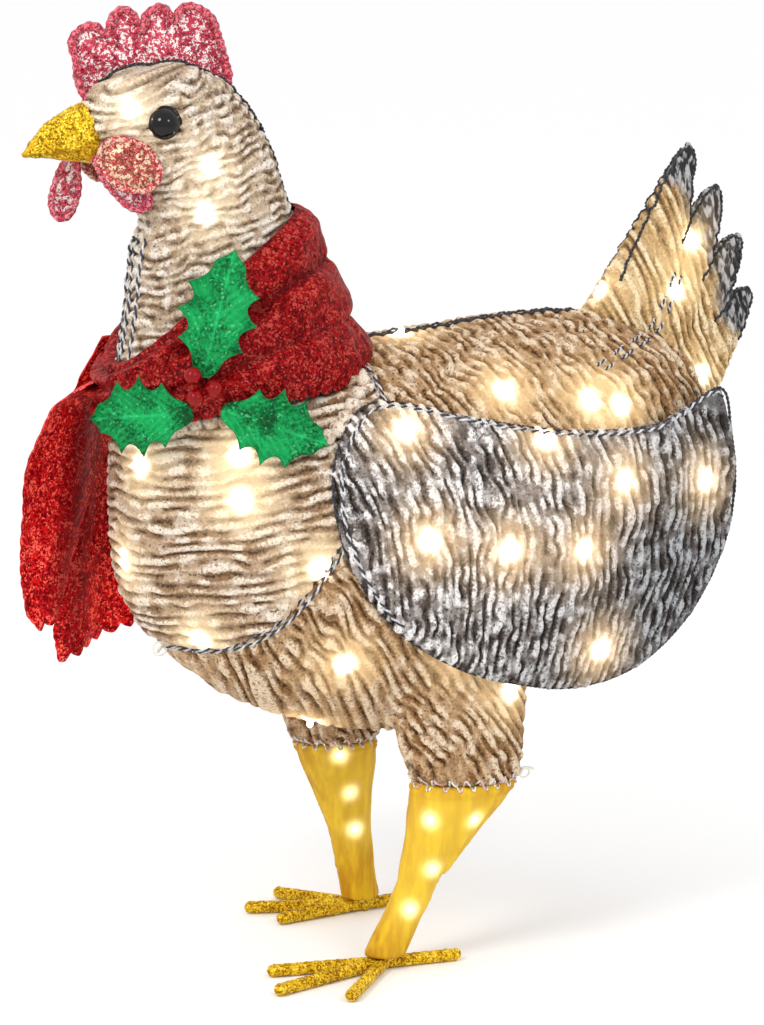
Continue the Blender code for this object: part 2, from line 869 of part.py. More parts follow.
def wing_form(name, side):
    points = [(WING_FRONT_Y + t * WING_LENGTH, WING_LOW_Z + s * WING_HEIGHT)
              for t, s in WING_OUTLINE]
    rim = round_outline(points, WING_CORNERS, 2)
    count = len(rim)
    centre = sum(rim, Vector((0, 0))) / count
    scales = (1.0, 0.95, 0.62)
    verts = []
    faces = []
    for face_side in (1, -1):
        start = len(verts)
        for k, scale in enumerate(scales):
            half = WING_EDGE_THICKNESS / 2 + (WING_THICKNESS - WING_EDGE_THICKNESS) / 2 * (1 - scale)
            if k == 0:
                half = WING_EDGE_THICKNESS / 4
            for p in rim:
                spot = centre + (p - centre) * scale
                verts.append((side * (wing_middle(*spot) + face_side * half), *spot))
        for k in range(len(scales) - 1):
            low = start + k * count
            for i in range(count):
                j = (i + 1) % count
                faces.append((low + i, low + j, low + count + j, low + count + i))
        inner = start + (len(scales) - 1) * count
        verts.append((side * (wing_middle(*centre) + face_side * WING_THICKNESS / 2), *centre))
        for i in range(count):
            faces.append((inner + i, inner + (i + 1) % count, len(verts) - 1))
    other = len(scales) * count + 1
    for i in range(count):
        j = (i + 1) % count
        faces.append((i, j, other + j, other + i))
    return add_object(name, verts, faces)


def make_wing(form, forms):
    wing = copy_of(form)
    clear_of(wing, [forms["body"], forms["left_thigh"], forms["right_thigh"]])
    combine(wing, breast_zone(forms), "DIFFERENCE")
    return wing


def wrap_edge(angle, centre_y, depth, width, height, slope, dip):
    c = math.cos(angle)
    return Vector((
        width / 2 * math.sin(angle),
        centre_y + depth / 2 * c,
        height + slope * c - dip * math.cos(2 * angle),
    ))


def wrap_form():
    """Closed band round the neck; angle 0 is at the back, a quarter turn at +X."""
    section = WRAP_FACETS + 3
    verts = []
    for k in range(WRAP_TURNS):
        angle = 2 * math.pi * k / WRAP_TURNS
        top = wrap_edge(angle, WRAP_TOP_CENTRE_Y, WRAP_TOP_DEPTH, WRAP_TOP_WIDTH,
                        WRAP_TOP_HEIGHT, WRAP_TOP_SLOPE, WRAP_TOP_DIP)
        low = wrap_edge(angle, WRAP_LOW_CENTRE_Y, WRAP_LOW_DEPTH, WRAP_LOW_WIDTH,
                        WRAP_LOW_HEIGHT, WRAP_LOW_SLOPE, WRAP_LOW_DIP)
        around = Vector((math.cos(angle) * WRAP_LOW_WIDTH, -math.sin(angle) * WRAP_LOW_DEPTH, 0))
        out = (low - top).cross(around).normalized()
        if out.x * math.sin(angle) + out.y * math.cos(angle) < 0:
            out = -out
        gather = 0.5 + 0.5 * math.cos(angle)
        roll = WRAP_ROLL * (0.35 + 0.65 * gather)
        for i in range(WRAP_FACETS):
            s = i / (WRAP_FACETS - 1)
            swell = WRAP_BULGE * math.sin(math.pi * s) ** 0.6
            lobes = roll * abs(math.sin(math.pi * WRAP_ROLLS * s + 0.25 * math.sin(angle)))
            verts.append(top.lerp(low, s) + out * (swell + lobes))
        for s in (0.9, 0.5, 0.1):
            verts.append(top.lerp(low, s) - out * WRAP_BULGE)
    faces = []
    for k in range(WRAP_TURNS):
        here = k * section
        after = (k + 1) % WRAP_TURNS * section
        for i in range(section):
            j = (i + 1) % section
            faces.append((here + i, here + j, after + j, after + i))
    return add_object("wrap", verts, faces)


def scarf_tail(name, rows, phase):
    """Hanging strip lofted between its front and rear edges, with soft folds."""
    rings = []
    for row in rows:
        front = Vector(row[:3])
        rear = Vector(row[3:])
        run = (rear - front).normalized()
        face = Vector((-run.y, run.x, 0)).normalized()
        half = SCARF_TAIL_THICKNESS / 2
        near = []
        far = []
        for i in range(TAIL_STEPS + 1):
            s = i / TAIL_STEPS
            fold = SCARF_FOLD * math.sin(math.pi * (2.5 * s + phase)) * math.sin(math.pi * s)
            edge = half * (0.35 + 0.65 * math.sin(math.pi * s) ** 0.5)
            spot = front.lerp(rear, s) + face * fold
            near.append(spot + face * edge)
            far.append(spot - face * edge)
        rings.append(near + far[::-1])
    return loft(name, rings, flat_strip=True)


def make_scarf(forms):
    scarf = copy_of(forms["wrap"])
    combine(scarf, copy_of(forms["inner_tail"]), "UNION")
    combine(scarf, copy_of(forms["outer_tail"]), "UNION")
    combine(scarf, copy_of(forms["knot"]), "UNION")
    clear_of(scarf, [forms["neck"]])
    clear_of(scarf, [forms["body"]], BREAST_PROUD + GAP)
    return scarf


def leaf_half_width(share):
    """Spiny edge of a holly leaf as a share of its half width."""
    body = math.sin(math.pi * min(1.0, share * 0.97 + 0.03)) ** 0.62
    phase = (share * (LEAF_SPINES + 0.5)) % 1.0
    hollow = math.sin(math.pi * phase)
    return body * (1 - LEAF_SPINE_DEPTH * hollow)


def leaf_form(name, base, along, normal, length, width):
    place = plane_frame(base, along, normal)
    rows = (-1.0, 0.0, 1.0)
    verts = []
    for face_side in (1, -1):
        for i in range(LEAF_ROWS + 1):
            share = i / LEAF_ROWS
            half = max(leaf_half_width(share), 0.03) * width / 2
            for v in rows:
                rib = LEAF_RIB * (1 - abs(v)) ** 2
                cup = LEAF_CUP * width * v * v * leaf_half_width(share)
                bend = -LEAF_CURL * length * share * share
                rise = bend + cup + rib + face_side * LEAF_THICKNESS / 2
                verts.append(place(share * length, v * half, rise))
    count = len(rows)
    block = (LEAF_ROWS + 1) * count
    faces = []
    for start in (0, block):
        for i in range(LEAF_ROWS):
            for j in range(count - 1):
                a = start + i * count + j
                faces.append((a, a + 1, a + count + 1, a + count))
    rim = [i * count for i in range(LEAF_ROWS + 1)]
    rim += [LEAF_ROWS * count + j for j in range(1, count)]
    rim += [i * count + count - 1 for i in range(LEAF_ROWS - 1, -1, -1)]
    rim += [j for j in range(count - 2, 0, -1)]
    for here, after in zip(rim, rim[1:] + rim[:1]):
        faces.append((here, after, after + block, here + block))
    return add_object(name, verts, faces)


def make_leaf(form, others, forms):
    leaf = copy_of(form)
    clear_of(leaf, others)
    combine(leaf, breast_zone(forms), "DIFFERENCE")
    return leaf


def make_berry(centre, others):
    berry = ball("berry", centre, BERRY_DIAMETER / 2, 10, 7)
    clear_of(berry, others)
    return berry


def make_shank(name, side, ankle_y, thigh_y, thigh_length):
    low = FOOT_HEIGHT + GAP
    high = THIGH_BOTTOM_HEIGHT - GAP
    rings = []
    for share, toward, long, wide in SHANK_STATIONS:
        centre = (
            side * THIGH_SPREAD,
            ankle_y + (thigh_y - ankle_y) * toward,
            low + (high - low) * share,
        )
        length = ANKLE_LENGTH + (thigh_length - ANKLE_LENGTH) * long
        width = ANKLE_WIDTH + (THIGH_WIDTH - ANKLE_WIDTH) * wide
        rings.append(oval(centre, (width / 2, 0, 0), (0, length / 2, 0), LIMB_SIDES))
    return loft(name, rings)


def foot_outline(side, yaw, size):
    """Star of four straight toes round the ankle, in order of angle."""
    half = TOE_WIDTH / 2
    toes = sorted((math.radians(-90 + side * (yaw + angle)) % (2 * math.pi), length * size)
                  for angle, length in TOES)
    outline = []
    for i, (angle, length) in enumerate(toes):
        run = Vector((math.cos(angle), math.sin(angle)))
        across = Vector((-run.y, run.x))
        after = toes[(i + 1) % len(toes)][0]
        opening = (after - angle) % (2 * math.pi)
        outline.append(run * (length - half) - across * half)
        for turn in (-45, 0, 45):
            bend = math.radians(turn)
            nose = run * half * math.cos(bend) + across * half * math.sin(bend)
            outline.append(run * (length - half) + nose)
        outline.append(run * (length - half) + across * half)
        middle = angle + opening / 2
        reach = half / math.sin(opening / 2)
        outline.append(Vector((math.cos(middle), math.sin(middle))) * max(reach, TOE_WIDTH * FOOT_HEEL))
    return outline


def make_foot(name, side, ankle_y, yaw, size):
    centre = Vector((side * THIGH_SPREAD, ankle_y))
    outline = foot_outline(side, yaw, size)
    count = len(outline)
    narrow = []
    for i, p in enumerate(outline):
        run = (outline[(i + 1) % count] - outline[i - 1]).normalized()
        narrow.append(p + Vector((-run.y, run.x)) * FOOT_EDGE)
    verts = [(*(centre + p), 0.0) for p in outline]
    verts += [(*(centre + p), FOOT_HEIGHT - FOOT_EDGE) for p in outline]
    verts += [(*(centre + p), FOOT_HEIGHT) for p in narrow]
    faces = [tuple(range(count))]
    for low in (0, count):
        for i in range(count):
            j = (i + 1) % count
            faces.append((low + i, low + j, low + count + j, low + count + i))
    faces.append(tuple(range(2 * count, 3 * count)))
    return add_object(name, verts, faces)


def centre_on_floor():
    """Move everything so the bounding box stands centred on the origin."""
    points = [v.co for obj in bpy.data.objects for v in obj.data.vertices]
    middle_x = (min(p.x for p in points) + max(p.x for p in points)) / 2
    middle_y = (min(p.y for p in points) + max(p.y for p in points)) / 2
    floor = min(p.z for p in points)
    for obj in bpy.data.objects:
        for vert in obj.data.vertices:
            vert.co -= Vector((middle_x, middle_y, floor))


def make_forms():
    """Whole clean forms, from which the pieces are cut and by which others are cleared."""
    forms = {
        "body": body_form("body"),
        "left_thigh": thigh("left_thigh", 1, LEFT_THIGH_Y, LEFT_THIGH_LENGTH),
        "right_thigh": thigh("right_thigh", -1, RIGHT_THIGH_Y, RIGHT_THIGH_LENGTH),
        "neck": neck_form("neck"),
        "beak": beak_form("beak_whole"),
        "left_cheek": cheek_form("left_cheek", 1),
        "right_cheek": cheek_form("right_cheek", -1),
        "left_wing": wing_form("left_wing", 1),
        "right_wing": wing_form("right_wing", -1),
        "wrap": wrap_form(),
        "inner_tail": scarf_tail("inner_tail", INNER_TAIL, 0.5),
        "outer_tail": scarf_tail("outer_tail", OUTER_TAIL, 0.0),
        "knot": ball("knot", KNOT_CENTRE, KNOT_RADIUS, 12, 8),
        "top_leaf": leaf_form("top_leaf", TOP_LEAF_BASE, TOP_LEAF_ALONG, TOP_LEAF_FACE,
                              TOP_LEAF_LENGTH, TOP_LEAF_WIDTH),
        "front_leaf": leaf_form("front_leaf", FRONT_LEAF_BASE, FRONT_LEAF_ALONG, FRONT_LEAF_FACE,
                                SIDE_LEAF_LENGTH, SIDE_LEAF_WIDTH),
        "rear_leaf": leaf_form("rear_leaf", REAR_LEAF_BASE, REAR_LEAF_ALONG, REAR_LEAF_FACE,
                               SIDE_LEAF_LENGTH, SIDE_LEAF_WIDTH),
    }
    return forms


def make_pieces(forms):
    """Every piece under its own name, with the function that gives it its material."""
    scarf_forms = [forms[key] for key in ("wrap", "inner_tail", "outer_tail", "knot")]
    leaf_forms = [forms[key] for key in ("top_leaf", "front_leaf", "rear_leaf")]
    around = [forms["neck"], forms["beak"]]
    pieces = {
        "trunk": (make_trunk(forms), wrapped_fabric),
        "breast": (make_breast(forms), cream_fabric),
        "head_and_neck": (make_head_and_neck(forms), cream_fabric),
        "tail": (make_tail(forms), wrapped_fabric),
        "comb": (make_comb(forms), comb_mesh),
        "beak": (make_beak(forms), beak_fabric),
        "eye_left": (make_eye(1, forms), eye_bead),
        "eye_right": (make_eye(-1, forms), eye_bead),
        "cheek_left": (make_cheek(forms["left_cheek"], forms), wattle_mesh),
        "cheek_right": (make_cheek(forms["right_cheek"], forms), wattle_mesh),
        "wattle_left": (
            make_wattle(LEFT_WATTLE_TOP, LEFT_WATTLE_LENGTH, LEFT_WATTLE_ALONG,
                        LEFT_WATTLE_FACE, around + [forms["left_cheek"]]),
            wattle_mesh,
        ),
        "wattle_right": (
            make_wattle(RIGHT_WATTLE_TOP, RIGHT_WATTLE_LENGTH, RIGHT_WATTLE_ALONG,
                        RIGHT_WATTLE_FACE, around + [forms["right_cheek"]]),
            wattle_mesh,
        ),
        "wing_left": (make_wing(forms["left_wing"], forms), grey_fabric),
        "wing_right": (make_wing(forms["right_wing"], forms), grey_fabric),
        "scarf": (make_scarf(forms), scarf_cloth),
        "shank_left": (
            make_shank("shank", 1, LEFT_ANKLE_Y, LEFT_THIGH_Y, LEFT_THIGH_LENGTH),
            shank_fabric,
        ),
        "shank_right": (
            make_shank("shank", -1, RIGHT_ANKLE_Y, RIGHT_THIGH_Y, RIGHT_THIGH_LENGTH),
            shank_fabric,
        ),
        "foot_left": (
            make_foot("foot", 1, LEFT_ANKLE_Y, LEFT_FOOT_YAW, LEFT_FOOT_SIZE),
            foot_glitter,
        ),
        "foot_right": (
            make_foot("foot", -1, RIGHT_ANKLE_Y, RIGHT_FOOT_YAW, RIGHT_FOOT_SIZE),
            foot_glitter,
        ),
    }
    below = scarf_forms + [forms["neck"]]
    for i, name in enumerate(("top", "front", "rear")):
        leaf = make_leaf(leaf_forms[i], below + leaf_forms[:i], forms)
        pieces["holly_leaf_" + name] = (leaf, leaf_foil)
    for i, centre in enumerate(BERRY_CENTRES):
        berry = make_berry(centre, scarf_forms + leaf_forms)
        pieces["holly_berry_%d" % (i + 1)] = (berry, berry_gloss)
    return pieces


def build():
    clear_scene()
    forms = make_forms()
    pieces = make_pieces(forms)
    for form in forms.values():
        bpy.data.objects.remove(form, do_unlink=True)
    for name, (obj, dress) in pieces.items():
        obj.name = name
        obj.data.name = name
        finish(obj)
        dress(obj)
    centre_on_floor()


build()
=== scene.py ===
"""Looks of a lighted hen decoration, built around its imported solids, in metres.

The hen faces -Y, its left side is +X and it stands on z = 0.
"""

import math

import bmesh
import bpy
import numpy as np
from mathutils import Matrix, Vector
from mathutils.bvhtree import BVHTree


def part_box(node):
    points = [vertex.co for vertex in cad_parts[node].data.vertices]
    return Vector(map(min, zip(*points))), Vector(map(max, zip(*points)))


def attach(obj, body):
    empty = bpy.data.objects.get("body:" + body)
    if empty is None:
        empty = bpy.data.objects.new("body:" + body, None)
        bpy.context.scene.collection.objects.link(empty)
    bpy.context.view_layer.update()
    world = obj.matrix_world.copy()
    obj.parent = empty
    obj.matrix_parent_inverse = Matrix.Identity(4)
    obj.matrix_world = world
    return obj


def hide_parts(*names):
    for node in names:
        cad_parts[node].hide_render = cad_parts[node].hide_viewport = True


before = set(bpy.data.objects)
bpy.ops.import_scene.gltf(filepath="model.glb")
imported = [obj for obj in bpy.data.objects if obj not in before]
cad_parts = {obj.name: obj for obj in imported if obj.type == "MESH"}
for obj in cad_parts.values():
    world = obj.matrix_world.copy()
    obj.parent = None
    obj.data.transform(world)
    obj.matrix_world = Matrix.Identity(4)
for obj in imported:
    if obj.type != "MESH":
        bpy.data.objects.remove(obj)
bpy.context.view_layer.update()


# The hen stands on a plain pale floor in soft studio light, and the camera looks at its
# left side from a little in front and above. Nothing here is part of the object.
VIEW_TARGET = Vector((0.1161, -0.0589, 0.3800))
VIEW_TURN, VIEW_RISE = 70, 11
VIEW_DISTANCE = 3.2
VIEW_LENS = 146.1
LIGHT_DISTANCE = 2.4
WORLD_STRENGTH = 1.06
FLOOR_HALF = 40.0
FLOOR_WHITE = 0.93


def link(obj):
    bpy.context.scene.collection.objects.link(obj)
    return obj


def aim(obj, turn, rise, distance):
    """Stand something off from the hen at a turn and rise in degrees, facing it."""
    turn, rise = math.radians(turn), math.radians(rise)
    flat = math.cos(rise)
    way = Vector((math.sin(turn) * flat, -math.cos(turn) * flat, math.sin(rise)))
    obj.location = VIEW_TARGET + way * distance
    obj.rotation_euler = way.to_track_quat("Z", "Y").to_euler()


def soft_light(name, turn, rise, size, power, colour):
    lamp = bpy.data.lights.new(name, "AREA")
    lamp.shape = "DISK"
    lamp.size = size
    lamp.energy = power
    lamp.color = colour
    aim(link(bpy.data.objects.new(name, lamp)), turn, rise, LIGHT_DISTANCE)


camera = link(bpy.data.objects.new("camera", bpy.data.cameras.new("camera")))
camera.data.sensor_fit = "VERTICAL"
camera.data.sensor_height = 36.0
camera.data.lens = VIEW_LENS
aim(camera, VIEW_TURN, VIEW_RISE, VIEW_DISTANCE)
bpy.context.scene.camera = camera
bpy.context.scene.view_settings.view_transform = "Standard"

world = bpy.data.worlds.new("studio")
world.use_nodes = True
world.node_tree.nodes["Background"].inputs["Color"].default_value = (1.0, 1.0, 1.0, 1.0)
world.node_tree.nodes["Background"].inputs["Strength"].default_value = WORLD_STRENGTH
bpy.context.scene.world = world
soft_light("key", 32, 40, 0.75, 22, (1.0, 0.97, 0.92))
soft_light("fill", 108, 34, 0.55, 10, (0.96, 0.98, 1.0))

floor_mesh = bpy.data.meshes.new("floor")
corners = [(x * FLOOR_HALF, y * FLOOR_HALF, 0) for x, y in ((-1, -1), (1, -1), (1, 1), (-1, 1))]
floor_mesh.from_pydata(corners, [], [(0, 1, 2, 3)])
floor = link(bpy.data.objects.new("floor", floor_mesh))
floor_paint = bpy.data.materials.new("floor_paint")
floor_paint.use_nodes = True
paint = floor_paint.node_tree.nodes["Principled BSDF"].inputs
paint["Base Color"].default_value = (FLOOR_WHITE, FLOOR_WHITE, FLOOR_WHITE, 1.0)
paint["Roughness"].default_value = 0.9
floor_mesh.materials.append(floor_paint)


# Trunk and thighs: a wire frame wound from end to end with soft two-tone cloth. Its rows
# of puffs slant down toward the tail, with brown painted shade on their flanks and in the
# hollows between them, and mini lamps glow through the cloth, here as on the other panels.
class Tone:
    """A value inside a finish; sums and products of it add the nodes that work them out."""

    def __init__(self, finish, socket):
        self.finish = finish
        self.socket = socket

    def __add__(self, other):
        return self.finish.sum_of("ADD", self, other)

    def __sub__(self, other):
        return self.finish.sum_of("SUBTRACT", self, other)

    def __rsub__(self, other):
        return self.finish.sum_of("SUBTRACT", other, self)

    def __mul__(self, other):
        return self.finish.sum_of("MULTIPLY", self, other)

    __radd__ = __add__
    __rmul__ = __mul__


class Finish:
    """One material and the calls that add its nodes."""

    def __init__(self, name):
        self.material = bpy.data.materials.new(name)
        self.material.use_nodes = True
        self.tree = self.material.node_tree
        self.shader = self.tree.nodes["Principled BSDF"]

    def feed(self, socket, value):
        if isinstance(value, Tone):
            self.tree.links.new(value.socket, socket)
        elif socket.type == "RGBA":
            socket.default_value = (*value, 1.0)
        else:
            socket.default_value = value

    def node(self, kind, settings=(), inputs=(), output=0):
        """Any node: its settings are set first, then its sockets are fed."""
        made = self.tree.nodes.new("ShaderNode" + kind)
        for key, value in dict(settings).items():
            setattr(made, key, value)
        for key, value in dict(inputs).items():
            self.feed(made.inputs[key], value)
        return Tone(self, made.outputs[output])

    def sum_of(self, operation, a, b):
        return self.node("Math", {"operation": operation}, {0: a, 1: b})

    def mark(self, name):
        """A number kept at each point of the mesh."""
        return self.node("Attribute", {"attribute_name": name}, (), "Fac")

    def rise(self, value, start, end):
        """0 at start and 1 at end, smooth between them."""
        return self.node("MapRange", {"interpolation_type": "SMOOTHSTEP"},
                         {"Value": value, "From Min": start, "From Max": end})

    def blend(self, share, a, b, kind="MIX"):
        return self.node("Mix", {"data_type": "RGBA", "blend_type": kind}, {0: share, 6: a, 7: b}, 2)

    def place(self, stretch=(1.0, 1.0, 1.0)):
        spot = self.node("TexCoord", (), (), "Object")
        return self.node("Mapping", (), {"Vector": spot, "Scale": stretch})

    def noise(self, scale, detail=2.0, place=None):
        return self.node("TexNoise", (), {"Vector": place or self.place(), "Scale": scale, "Detail": detail})

    def flakes(self, scale):
        """A number of its own for each small grain."""
        cells = self.node("TexVoronoi", (), {"Vector": self.place(), "Scale": scale}, "Color")
        return self.node("SeparateColor", (), {0: cells})

    def grain(self, height, distance, strength=1.0):
        """Fine relief, by its height in shares of the distance."""
        return self.node("Bump", (), {"Height": height, "Distance": distance, "Strength": strength})

    def lamp_light(self, core, core_colour, halo, halo_colour):
        """Light that comes through the cloth: a bright core and a wide halo."""
        unlit = (0.0, 0.0, 0.0)
        near = self.blend(core, unlit, core_colour)
        around = self.blend(halo, unlit, halo_colour)
        return self.blend(1.0, near, around, "ADD")

    def surface(self, **inputs):
        for key, value in inputs.items():
            self.feed(self.shader.inputs[key.replace("_", " ").title().replace("Ior", "IOR")], value)
        self.tint = inputs["base_color"]
        return self


def dress(piece, finish, node=None):
    """Give a piece its finish, hide the solid that it stands for, and hang it on what it rides on."""
    piece.data.materials.clear()
    piece.data.materials.append(finish.material)
    if node:
        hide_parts(node)
    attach(piece, "root")


PRIMES = (374761393, 668265263, 362437, 1274126177)
LOW_32, LOW_16 = 0xFFFFFFFF, 0xFFFF


def scattered(ix, iy, seed):
    """A fixed random number from 0 to 1 for each whole-numbered place, by mixing its bits."""
    n = ix.astype(np.int64) * PRIMES[0] + iy.astype(np.int64) * PRIMES[1] + seed * PRIMES[2]
    n = (n ^ (n >> 13)) & LOW_32
    n = (n * PRIMES[3]) & LOW_32
    n = n ^ (n >> 16)
    return (n & LOW_16) / LOW_16


def drift(x, y, seed):
    """Smooth random number from 0 to 1 over a plane, one bump to each unit square."""
    x, y = np.broadcast_arrays(np.asarray(x, float), np.asarray(y, float))
    ix, iy = np.floor(x), np.floor(y)
    fx, fy = x - ix, y - iy
    fx, fy = fx * fx * (3 - 2 * fx), fy * fy * (3 - 2 * fy)
    low, high = (scattered(ix, row, seed) * (1 - fx) + scattered(ix + 1, row, seed) * fx
                 for row in (iy, iy + 1))
    return low * (1 - fy) + high * fy


def points_of(obj, kind="co"):
    """The mesh's points, or their normals, one row to each."""
    rows = np.empty(len(obj.data.vertices) * 3)
    obj.data.vertices.foreach_get(kind, rows)
    return rows.reshape(-1, 3)


def push_out(obj, lift):
    """Move each point out along its normal by its own lift."""
    co = points_of(obj) + points_of(obj, "normal") * lift[:, None]
    obj.data.vertices.foreach_set("co", co.ravel())
    obj.data.update()


def mark_points(obj, **marks):
    """Keep numbers at the mesh's points for its finish to read."""
    for name, values in marks.items():
        made = obj.data.attributes.new(name, "FLOAT", "POINT")
        made.data.foreach_set("value", np.ones(len(made.data), np.float32) * np.asarray(values, np.float32))


def skin_over(node, name, grain, rounding):
    """Even closed mesh over a solid's shape, with the solid's facets rounded off."""
    obj = link(bpy.data.objects.new(name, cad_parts[node].data.copy()))
    even = obj.modifiers.new("even", "REMESH")
    even.mode = "VOXEL"
    even.voxel_size = grain
    obj.modifiers.new("soft", "SMOOTH").iterations = rounding
    mesh = bpy.data.meshes.new_from_object(obj.evaluated_get(bpy.context.evaluated_depsgraph_get()))
    obj.modifiers.clear()
    obj.data = mesh
    mesh.polygons.foreach_set("use_smooth", [True] * len(mesh.polygons))
    return obj


def middle_of(node):
    low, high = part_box(node)
    return (low + high) / 2


# Some places are measured from a middle of their own, and MIDLINE moves them into the frame.
MID_X = middle_of("comb").x
MIDLINE = Vector((MID_X, -0.0289, 0.0))
LAMPS = {
    "trunk_cloth": (
        (0.098, -0.083, 0.258), (0.030, -0.088, 0.198), (0.097, 0.056, 0.226),
        (-0.001, -0.001, 0.498), (0.081, 0.056, 0.464), (0.081, 0.129, 0.452),
        (0.074, 0.157, 0.445), (0.100, 0.010, 0.262),
    ),
    "tail_cloth": (
        (0.020, 0.251, 0.456), (0.004, 0.248, 0.564), (0.015, 0.230, 0.526), (-0.006, 0.173, 0.525),
        (-0.038, 0.251, 0.456), (-0.022, 0.248, 0.564), (-0.033, 0.230, 0.526),
    ),
    "breast_cloth": (
        (0.032, -0.227, 0.413), (0.083, -0.163, 0.426), (0.091, -0.165, 0.392),
        (0.006, -0.233, 0.334), (0.058, -0.188, 0.277), (0.113, -0.108, 0.338),
    ),
    "head_cloth": ((0.037, -0.170, 0.644), (0.036, -0.174, 0.606), (0.025, -0.230, 0.687)),
    "wing_left_cloth": (
        (0.105, -0.036, 0.441), (0.128, -0.024, 0.358), (0.107, 0.080, 0.427),
        (0.120, 0.109, 0.340), (0.126, 0.043, 0.345), (0.104, 0.149, 0.390),
        (0.078, 0.230, 0.380), (0.107, 0.128, 0.255),
    ),
}
CORE_RADIUS = 0.0060
HALO_RADIUS = 0.027
TWIN_GAP = 0.042
TRUNK_SLANT = math.radians(54)


def twins(spots):
    """The same spots on the hen's other side, for those well off the midline."""
    return [(2 * MID_X - x, y, z) for x, y, z in spots if abs(x - MID_X) > TWIN_GAP]


def light_up(obj, spots, power=1.0):
    """Mark how near each point is to a lamp behind the cloth."""
    co = points_of(obj)
    core = np.zeros(len(co))
    halo = np.zeros(len(co))
    for spot in spots:
        gap = ((co - np.array(spot)) ** 2).sum(1)
        core = np.maximum(core, power * np.exp(-gap / CORE_RADIUS ** 2))
        halo += power * np.exp(-gap / HALO_RADIUS ** 2)
    mark_points(obj, core=core, halo=np.minimum(halo, 1.0))


def light_both_sides(obj, power=1.0, cloth=None):
    spots = LAMPS[cloth or obj.name]
    light_up(obj, [*spots, *twins(spots)], power)


def wind_cloth(obj, across, along, pitch, depth, seed, wander, puff, open_share):
    """Raise rows of puffs: across and along give each point's place in metres."""
    turn = drift(along / 0.024, across / 0.022, seed) + 0.6 * drift(along / 0.010, across / 0.010, seed + 1)
    row = across / pitch + wander * (turn - 0.8) * 2
    line = np.round(row)
    away = np.abs(row - line)
    open_gap = drift(along / puff + 17.3 * line, line * 3.1, seed + 2)
    gap = np.clip((open_gap + open_share - 0.86) / 0.22, 0, 1)
    groove = np.exp(-(away / 0.17) ** 2) * (0.25 + 0.75 * gap)
    lumps = drift(along / (puff * 0.7) + 5.1 * np.floor(row), np.floor(row) * 2.7, seed + 3)
    crown = np.sin(np.pi * away) * (0.22 + 0.85 * lumps)
    push_out(obj, depth * (crown * 0.75 - groove * 0.55))
    mark_points(obj, row=row, gap=gap, puff=lumps)


def wound_finish(name, crests, flank, deep, warm, blotch=70.0):
    """Cloth in puffed rows: two tones of crest, painted shade on the flanks and in the hollows, painted lamp
    warmth, and lamp light.
    """
    cloth = Finish(name)
    halo = cloth.mark("halo")
    puff = cloth.mark("puff")
    edge = cloth.node("Math", {"operation": "PINGPONG"}, {0: cloth.mark("row"), 1: 0.5})
    fuzz = cloth.noise(420, 3)
    fine = cloth.noise(1500)
    dabs = cloth.noise(190)
    specks = cloth.noise(300)
    ragged = edge * (0.34 + puff) + (fuzz - 0.5) * 0.44 + (dabs - 0.5) * 0.26 + 0.03
    shut = cloth.mark("gap") * (1 - 0.75 * halo)
    # The flank colour on the puffs' sides and the deep colour in the grooves are painted shade, tinted brown
    # and thinned where a lamp shines through.
    slope = cloth.rise(ragged, 0.34, 0.17) * (0.35 + 0.65 * shut)
    hollow_shade = cloth.rise(ragged, 0.19, 0.06) * shut * cloth.rise(dabs + fuzz * 0.4, 0.58, 0.74)
    patch = cloth.rise(cloth.noise(blotch, 3) + (puff - 0.5) * 0.65, 0.40, 0.62)
    crest = cloth.blend(patch, *crests)
    crest = cloth.blend(cloth.rise(fine * 0.5 + fuzz * 0.5, 0.52, 0.40) * 0.5, crest, flank)
    speckled = cloth.rise(specks + (dabs - 0.5) * 0.4, 0.57, 0.66)
    crest = cloth.blend(speckled * (0.8 - 0.6 * halo), crest, flank)
    tint = cloth.blend(hollow_shade, cloth.blend(slope, crest, flank), deep)
    tint = cloth.blend(cloth.rise(specks + edge * 0.25, 0.42, 0.36) * (0.85 - 0.85 * halo), tint, deep)
    lit = cloth.mark("core") * (1 - 0.5 * slope) * (0.2 + dabs * 1.6)
    glow = cloth.lamp_light(lit, (1.0, 0.90, 0.72), halo * (1 - 0.75 * slope), (0.042, 0.029, 0.015))
    # Near the lamps the base colour is warmed, as painted lamp light.
    return cloth.surface(
        base_color=cloth.blend(halo * 0.6 * (1 - hollow_shade), tint, warm),
        roughness=0.88,
        specular_ior_level=0.2,
        emission_color=glow,
        emission_strength=9.0,
        normal=cloth.grain(fine + fuzz + cloth.rise(ragged, 0.04, 0.42) * 1.2, 0.0012, 0.9),
    )


trunk = skin_over("trunk", "trunk_cloth", 0.0031, 7)
co = points_of(trunk)
across = co[:, 1] * math.sin(TRUNK_SLANT) + co[:, 2] * math.cos(TRUNK_SLANT)
along = co[:, 1] * math.cos(TRUNK_SLANT) - co[:, 2] * math.sin(TRUNK_SLANT) + co[:, 0]
wind_cloth(trunk, across, along, 0.0080, 0.0032, 11, 0.55, 0.0095, 0.55)
light_both_sides(trunk)
tan = wound_finish("wound_tan_cloth", ((0.60, 0.40, 0.23), (0.82, 0.66, 0.48)), (0.27, 0.135, 0.050),
                   (0.040, 0.018, 0.010), (0.95, 0.64, 0.30))
dress(trunk, tan, "trunk")


# Tail: four feather forms of the same wound cloth on a fan of wires, with rows that run
# up the feathers and dark tips.
FEATHER_TIPS = ((0.281, 0.641), (0.306, 0.606), (0.325, 0.565), (0.335, 0.520))
FEATHER_ROOTS = ((0.208, 0.430), (0.224, 0.424), (0.235, 0.414), (0.240, 0.402))
TIP_DARK = 0.045

